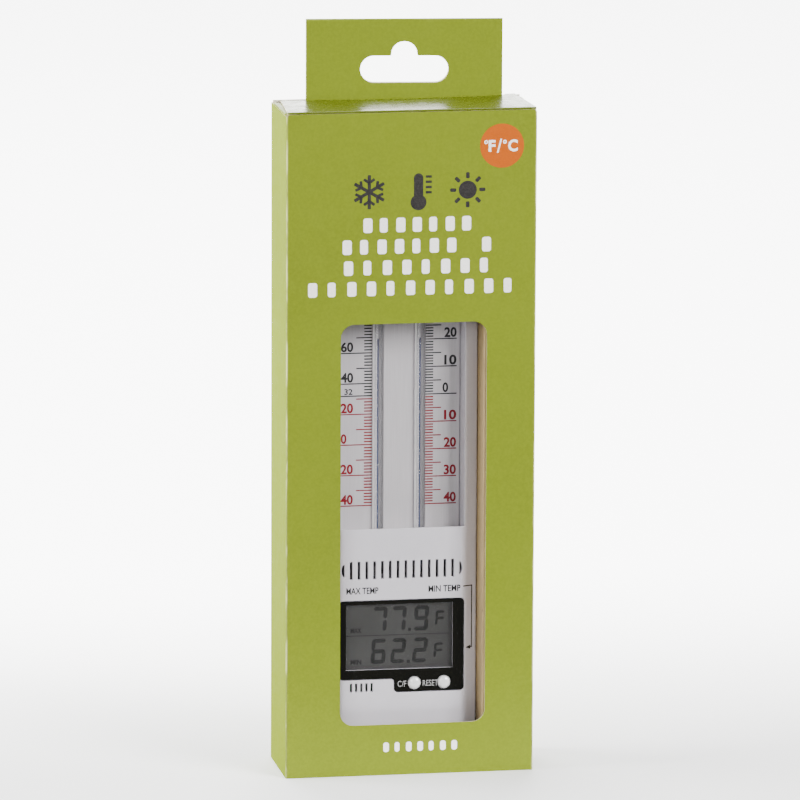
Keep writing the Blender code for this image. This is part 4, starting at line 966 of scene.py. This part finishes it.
class PrintBadge(Operator):
    """The round orange badge with the two units"""

    bl_idname = "thermometer.print_badge"
    bl_label = "Units badge"

    def execute(self, context):
        face = SLEEVE_LOW.y
        shape = bmesh.new()
        x, z, radius = (value * MM for value in BADGE)
        spot = Matrix.Translation((x, face - INK / 2, z)) @ Matrix.Rotation(pi / 2, 4, "X")
        bmesh.ops.create_cone(shape, cap_ends=True, segments=64, radius1=radius, radius2=radius,
                              depth=INK, matrix=spot)
        finished_piece("badge_disc", shape, ["badge_orange"], "carton")
        words = bmesh.new()
        for text, x, z, height, width, weight in (("F", 27.8, 228.2, 4.2, 2.5, 0.035),
                                                  ("/", 30.8, 227.8, 5.0, 1.9, 0.01),
                                                  ("C", 34.9, 228.1, 4.4, 3.5, 0.035)):
            add_lettering(words, text, x * MM, z * MM, height * MM, face - INK, width * MM,
                          weight)
        for x in (26.9, 33.7):
            ring = bmesh.new()
            bmesh.ops.create_circle(ring, segments=20, radius=0.70 * MM)
            bmesh.ops.create_circle(ring, segments=20, radius=0.30 * MM)
            bmesh.ops.bridge_loops(ring, edges=ring.edges[:])
            pull(ring, bmesh.ops.extrude_face_region(ring, geom=ring.faces[:]), (0, 0, INK))
            bmesh.ops.recalc_face_normals(ring, faces=ring.faces)
            add_shape(words, ring, Matrix.Translation((x * MM, face - INK, 231.7 * MM))
                      @ Matrix.Rotation(pi / 2, 4, "X"))
        finished_piece("badge_units", words, ["title_white"], "carton")
        return {"FINISHED"}


# Thermometer

class FinishCase(Operator):
    """The silver front and back shells of the thermometer"""

    bl_idname = "thermometer.finish_case"
    bl_label = "Case"

    def execute(self, context):
        for node in ("front_case", "back_case", "battery_cover"):
            dress(node, "case_silver")
        return {"FINISHED"}


class PrintScales(Operator):
    """The scale plate and its two printed scales, black above freezing and red below"""

    bl_idname = "thermometer.print_scales"
    bl_label = "Scale plate"

    def execute(self, context):
        settings = context.scene.thermometer_settings
        dress("scale_plate", "plate_silver")
        black, red = bmesh.new(), bmesh.new()
        for side, end, step, zero, share in ((1, 51, 1, 0, 1.0), (-1, 123, 2, 32, 1.8)):
            for degree in range(-40, end, step):
                shape = black if degree >= zero else red
                centigrade = (degree - zero) / share
                self.add_line(shape, settings, side, centigrade, degree, 5 * step)
                if degree % (10 * step) == 0:
                    self.add_numeral(shape, settings, side, centigrade, degree)
        height = FREEZING - settings.long_line / 2
        add_bar(black, CASE_MIDDLE - 21.3 * MM, CASE_MIDDLE - SCALE_START, height,
                height + settings.long_line, PLATE_LOW.y)
        add_lettering(black, "32", CASE_MIDDLE - 19.9 * MM, height + 0.7 * MM, 2.2 * MM,
                      PLATE_LOW.y, 3.0 * MM)
        for text, x in (("°F", -19.5), ("°C", 15.5)):
            add_lettering(black, text, CASE_MIDDLE + x * MM, 188.2 * MM, 2.0 * MM, PLATE_LOW.y,
                          3.0 * MM)
        finished_piece("scale_print_black", black, ["scale_black"], "thermometer")
        finished_piece("scale_print_red", red, ["scale_red"], "thermometer")
        return {"FINISHED"}

    def add_line(self, shape, settings, side, centigrade, degree, middle):
        """One line of a scale, longer every middle and every second middle degrees."""
        size, thick = 2.9, settings.minor_line
        if degree % (2 * middle) == 0:
            size, thick = 11.5, settings.long_line
        elif degree % middle == 0:
            size, thick = 5.8, settings.long_line
        near = CASE_MIDDLE + side * SCALE_START
        far = near + side * size * MM
        height = FREEZING + centigrade * DEGREE
        add_bar(shape, min(near, far), max(near, far), height - thick / 2, height + thick / 2,
                PLATE_LOW.y)

    def add_numeral(self, shape, settings, side, centigrade, degree):
        """The numeral that stands on a long line."""
        text = str(abs(degree))
        left = CASE_MIDDLE + (16.7 if side > 0 else -21.2) * MM
        if side > 0 and len(text) == 1:
            left -= 0.6 * MM
        width = (2.1, 4.5, 6.4)[len(text) - 1] * MM
        low = FREEZING + centigrade * DEGREE + 0.45 * MM
        if centigrade < 50:
            add_lettering(shape, text, left, low, settings.numeral, PLATE_LOW.y, width, 0.03)


class BuildTubes(Operator):
    """The two glass tubes with their threads of blue spirit, and the strap that holds them"""

    bl_idname = "thermometer.build_tubes"
    bl_label = "Glass tubes"

    def execute(self, context):
        for side in ("left", "right"):
            self.build_tube(side)
        dress("tube_bridge", "strap_black")
        return {"FINISHED"}

    def build_tube(self, side):
        """One tube with its bore and bulb, and the spirit in it."""
        low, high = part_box("glass_tube_" + side)
        spirit_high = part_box("spirit_thread_" + side)[1]
        x, y = (low.x + high.x) / 2, (low.y + high.y) / 2
        bulb = (high.x - low.x) / 2
        tube, bore = 1.9 * MM, 0.30 * MM
        neck = low.z + 9.5 * MM
        outside = [(0, high.z), *arc((0, high.z - tube), tube, 0.5 * pi, 0)[1:],
                   (tube, neck + 0.6 * MM), (bulb - 0.3 * MM, neck - 0.6 * MM),
                   (bulb, neck - 1.4 * MM), *arc((0, low.z + bulb), bulb, 0, -0.5 * pi)]
        inner = bulb - 0.7 * MM
        inside = [(0, high.z - 4 * MM), (bore, high.z - 4.4 * MM), (bore, neck),
                  (inner, neck - 1.6 * MM),
                  *arc((0, low.z + 0.7 * MM + inner), inner, 0, -0.5 * pi, 5)]
        thread = bore - 0.03 * MM
        reservoir = inner - 0.05 * MM
        liquid = [(0, spirit_high.z), (thread * 0.7, spirit_high.z - 0.1 * MM),
                  (thread, spirit_high.z - 0.3 * MM), (thread, neck - 0.1 * MM),
                  (reservoir, neck - 1.75 * MM),
                  *arc((0, low.z + 0.75 * MM + reservoir), reservoir, 0, -0.5 * pi, 5)]
        glass, wall, spirit = (
            spun([(x + radius, y, height) for radius, height in profile], (x, y, 0), steps=steps)
            for profile, steps in ((outside, 48), (inside, 24), (liquid, 24)))
        bmesh.ops.reverse_faces(wall, faces=wall.faces)
        add_shape(glass, wall)
        finished_piece("tube_" + side, glass, ["drawn_glass"], "thermometer",
                       ["glass_tube_" + side])
        finished_piece("spirit_" + side, spirit, ["blue_spirit"], "thermometer",
                       ["spirit_thread_" + side])


SEGMENTS = {"2": "abged", "6": "afgedc", "7": "abc", "9": "gfabcd", "F": "afeg"}


class BuildDisplay(Operator):
    """The black mask, clear window and grey display with its two readings"""

    bl_idname = "thermometer.build_display"
    bl_label = "Display"

    def execute(self, context):
        settings = context.scene.thermometer_settings
        for node, material in (("display_mask", "gloss_black"), ("display_lens", "clear_window"),
                               ("lcd_glass", "display_screen"), ("zebra_strip", "zebra_stripes")):
            dress(node, material)
        shape = bmesh.new()
        digit = settings.digit
        readings = (
            (50.9 * MM, (("7", -12.3), ("7", -5.3), ("9", 3.0)), 11.0, 1.2),
            (39.0 * MM, (("6", -12.7), ("2", -5.4), ("2", 2.6)), 10.5, 0.8),
        )
        for low, digits, unit, point in readings:
            for text, left in digits:
                self.add_digit(shape, text, left * MM, low, digit, 5.4 * MM, 1.45 * MM)
            self.add_digit(shape, "F", unit * MM, low + 1.6 * MM, 5.6 * MM, 3.4 * MM,
                           0.95 * MM)
            plate_shape(shape, rectangle(point * MM, (point + 1.1) * MM, low, low + 1.1 * MM),
                        GLASS_LOW.y - INK, GLASS_LOW.y)
        add_bar(shape, GLASS_LOW.x + 1.5 * MM, GLASS_HIGH.x - 2.6 * MM, 49.5 * MM, 49.7 * MM,
                GLASS_LOW.y)
        for text, low in (("MAX", 50.7), ("MIN", 39.0)):
            add_lettering(shape, text, -20.0 * MM, low * MM, 1.8 * MM, GLASS_LOW.y, 4.0 * MM,
                          0.04)
        finished_piece("display_segments", shape, ["display_segment"], "thermometer")
        return {"FINISHED"}

    def add_digit(self, shape, text, left, low, height, width, stroke):
        """One seven segment digit, leaning a little to the right."""
        gap, half, reach = stroke * 0.14, height / 2, stroke / 2
        bars = {
            "a": (0, height - reach, 0), "g": (0, half, 0), "d": (0, reach, 0),
            "f": (reach, half, 1), "b": (width - reach, half, 1),
            "e": (reach, 0, 1), "c": (width - reach, 0, 1),
        }
        for name in SEGMENTS[text]:
            x, z, stands = bars[name]
            run = (half if stands else width) - gap
            points = [(gap, 0), (gap + reach, -reach), (run - reach, -reach), (run, 0),
                      (run - reach, reach), (gap + reach, reach)]
            points = [(x - out, z + along) if stands else (x + along, z + out)
                      for along, out in points]
            corners = [(left + px + pz * 0.07, low + pz, 0) for px, pz in points]
            plate_shape(shape, corners, GLASS_LOW.y - INK, GLASS_LOW.y)


class PrintLabels(Operator):
    """The words on the case and mask, and the lines that lead to the two readings"""

    bl_idname = "thermometer.print_labels"
    bl_label = "Case labels"

    def execute(self, context):
        case = bmesh.new()
        for text, left in (("MIN TEMP", 9.8), ("MAX TEMP", -20.4)):
            add_lettering(case, text, CASE_MIDDLE + left * MM, 65.5 * MM, 2.4 * MM, 0,
                          11.8 * MM, 0.018)
        for side, low in ((1, 44.3), (-1, 55.6)):
            self.add_leader(case, side, low)
        lay_on(case, "front_case")
        finished_piece("case_labels", case, ["scale_black"], "thermometer")
        mask = bmesh.new()
        for text, left, width in (("C/F", -1.45, 3.2), ("RESET", 7.85, 5.6)):
            add_lettering(mask, text, CASE_MIDDLE + left * MM, 30.6 * MM, 2.2 * MM, MASK_LOW.y,
                          width * MM, 0.0)
        finished_piece("mask_labels", mask, ["label_grey"], "thermometer")
        return {"FINISHED"}

    def add_leader(self, shape, side, low):
        """A line out from a word, down the shoulder and back with an arrowhead."""
        near, far, high, half = 22.6, 26.0, 67.2, 0.2
        part = bmesh.new()
        for left, right, bottom, top in ((near, far, high - half, high + half),
                                         (far - half, far + half, low - half, high + half)):
            add_bar(part, left * MM, right * MM, bottom * MM, top * MM, 0)
        bmesh.ops.subdivide_edges(part, edges=part.edges[:], cuts=6, use_grid_fill=True)
        points = [(far - 0.4, low + 0.75), (far - 2.3, low), (far - 0.4, low - 0.75)]
        plate_shape(part, [(x * MM, z * MM, 0) for x, z in points], -INK, 0)
        add_bar(part, (far - 0.6) * MM, far * MM, (low - half) * MM, (low + half) * MM, 0)
        for point in part.verts:
            point.co.x = CASE_MIDDLE + side * point.co.x
        if side < 0:
            bmesh.ops.reverse_faces(part, faces=part.faces)
        add_shape(shape, part)


class BuildButtons(Operator):
    """The unit and reset buttons with their smooth domes, and the switches under them"""

    bl_idname = "thermometer.build_buttons"
    bl_label = "Buttons"

    def execute(self, context):
        for name in ("unit_button", "reset_button"):
            low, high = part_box(name)
            x, z = (low.x + high.x) / 2, (low.z + high.z) / 2
            dome = 2.35 * MM
            rise = 1.1 * MM
            front = low.y
            profile = [(0, front)]
            profile += [(dome * sin(step * pi / 16), front + rise * (1 - cos(step * pi / 16)))
                        for step in range(1, 9)]
            profile += [(dome, front + 3.0 * MM), (3.0 * MM, front + 3.05 * MM),
                        (3.0 * MM, front + 3.8 * MM), (1.2 * MM, front + 3.85 * MM),
                        (1.2 * MM, high.y - 0.1 * MM), (1.1 * MM, high.y), (0, high.y)]
            shape = spun([(x + radius, depth, z) for radius, depth in profile], (x, 0, z),
                         (0, 1, 0))
            for face in shape.faces:
                face.smooth = abs(face.normal.y) > 0.05 or len(face.verts) < 4
            finished_piece(name + "_dome", shape, ["button_silver"], name,
                           [name])
        for name in ("unit_switch", "reset_switch"):
            dress(name, "bright_steel")
        return {"FINISHED"}


class FinishInside(Operator):
    """The circuit board and what it carries, the battery, its contacts and the screws"""

    bl_idname = "thermometer.finish_inside"
    bl_label = "Inner parts"

    def execute(self, context):
        dress("circuit_board", "circuit_green")
        dress("controller_chip", "black_epoxy")
        dress("temperature_sensor", "black_epoxy")
        steel = ["battery", "battery_contact_positive", "battery_contact_negative",
                 "board_screw_left", "board_screw_right"]
        steel += [f"case_screw_{row}_{side}" for row in ("lower", "upper")
                  for side in ("left", "right")]
        for node in steel:
            dress(node, "bright_steel")
        return {"FINISHED"}


# Studio

class BuildStudio(Operator):
    """The pale floor, soft lights and camera"""

    bl_idname = "thermometer.build_studio"
    bl_label = "Studio"

    def execute(self, context):
        studio = context.scene.studio_settings
        shape = bmesh.new()
        bmesh.ops.create_grid(shape, x_segments=8, y_segments=8, size=3.0)
        bmesh.ops.translate(shape, verts=shape.verts, vec=(0, 3.0 + SLEEVE_LOW.y - 0.07, 0))
        wall = [edge for edge in shape.edges if min(point.co.y for point in edge.verts) > 5.7]
        pull(shape, bmesh.ops.extrude_edge_only(shape, edges=wall), (0, 0, 2.5))
        floor = Finish("studio_floor", Roughness=0.9)
        tint = tuple(studio.floor)
        floor.paint(floor.mix(floor.noise(3, 2), shade(tint, 0.99), tint))
        floor.shader.inputs["Emission Color"].default_value = (1, 1, 1, 1)
        # The floor glows, faintly in front of the carton and brightly behind it, and so lights the
        # carton from below like a lamp.
        glow = floor.span(floor.axis("Y"), -0.02, 0.35, 0.3, studio.glow)
        floor.drive("Emission Strength", glow)
        mesh = meshed("floor", shape)
        mesh.materials.append(floor.material)
        placed("studio_floor", mesh)
        self.add_world(context)
        for name, place, size, power in (("key_light", (1.2, -1.4, 1.0), 1.0, studio.key),
                                         ("top_light", (0.0, 1.1, 1.3), 1.2, studio.top),
                                         ("fill_light", (-0.9, -1.6, 0.6), 1.0, studio.fill),
                                         ("side_light", (-1.6, 0.25, 0.5), 1.2, studio.side)):
            self.add_light(name, place, size, power)
        self.add_camera(context, studio)
        return {"FINISHED"}

    def add_world(self, context):
        """Even white surroundings."""
        world = bpy.data.worlds.new("studio_surroundings")
        world.use_nodes = True
        sky = world.node_tree.nodes["Background"].inputs
        sky["Color"].default_value = (1, 1, 1, 1)
        sky["Strength"].default_value = 0.30
        context.scene.world = world

    def add_light(self, name, place, size, power):
        """A square soft light aimed at the carton's middle."""
        data = bpy.data.lights.new(name, "AREA")
        data.shape = "SQUARE"
        data.size = size
        data.energy = power
        light = placed(name, data)
        light.location = place
        aim = Vector((0, 0, 0.12)) - Vector(place)
        light.rotation_euler = aim.to_track_quat("-Z", "Y").to_euler()

    def add_camera(self, context, studio):
        """A long lens that looks slightly down from the left."""
        target = Vector((0, SLEEVE_LOW.y, 0.122))
        flat = cos(studio.pitch)
        away = Vector((-sin(studio.yaw) * flat, -cos(studio.yaw) * flat, sin(studio.pitch)))
        data = bpy.data.cameras.new("camera")
        data.lens = LENS
        data.sensor_width = 36
        data.shift_x = -0.0136
        data.shift_y = 0.056
        data.clip_start = 0.1
        data.clip_end = 30
        camera = placed("camera", data)
        camera.location = target + away * studio.distance
        roll = Matrix.Rotation(studio.roll, 3, "Z").to_quaternion()
        camera.rotation_euler = ((-away).to_track_quat("-Z", "Y") @ roll).to_euler()
        context.scene.camera = camera


STEPS = (BuildSleeve, BuildHangTab, BuildLid, BuildInsert, PrintTitle, PrintBadge, FinishCase,
         PrintScales, BuildTubes, BuildDisplay, PrintLabels, BuildButtons, FinishInside,
         BuildStudio)


class ThermometerPanel(Panel):
    """Lists the pieces of the boxed thermometer"""

    bl_idname = "VIEW3D_PT_boxed_thermometer"
    bl_label = "Boxed thermometer"
    bl_space_type = "VIEW_3D"
    bl_region_type = "UI"
    bl_category = "Thermometer"

    def draw(self, context):
        for step in STEPS:
            self.layout.operator(step.bl_idname, text=step.bl_label)
        for settings in GROUPS:
            group = getattr(context.scene, settings)
            box = self.layout.box()
            for name in group.__annotations__:
                box.prop(group, name)


GROUPS = {"carton_settings": CartonSettings, "thermometer_settings": ThermometerSettings,
          "studio_settings": StudioSettings}
CLASSES = (*GROUPS.values(), *STEPS, ThermometerPanel)


def register():
    """Make the settings, the steps and the panel known to Blender."""
    for item in CLASSES:
        bpy.utils.register_class(item)
    for name, group in GROUPS.items():
        setattr(bpy.types.Scene, name, PointerProperty(type=group))


def unregister():
    """Take them away again."""
    for name in GROUPS:
        delattr(bpy.types.Scene, name)
    for item in reversed(CLASSES):
        bpy.utils.unregister_class(item)


def main():
    """Build every piece in order."""
    register()
    for step in STEPS:
        group, name = step.bl_idname.split(".")
        getattr(getattr(bpy.ops, group), name)()


if __name__ == "__main__":
    main()
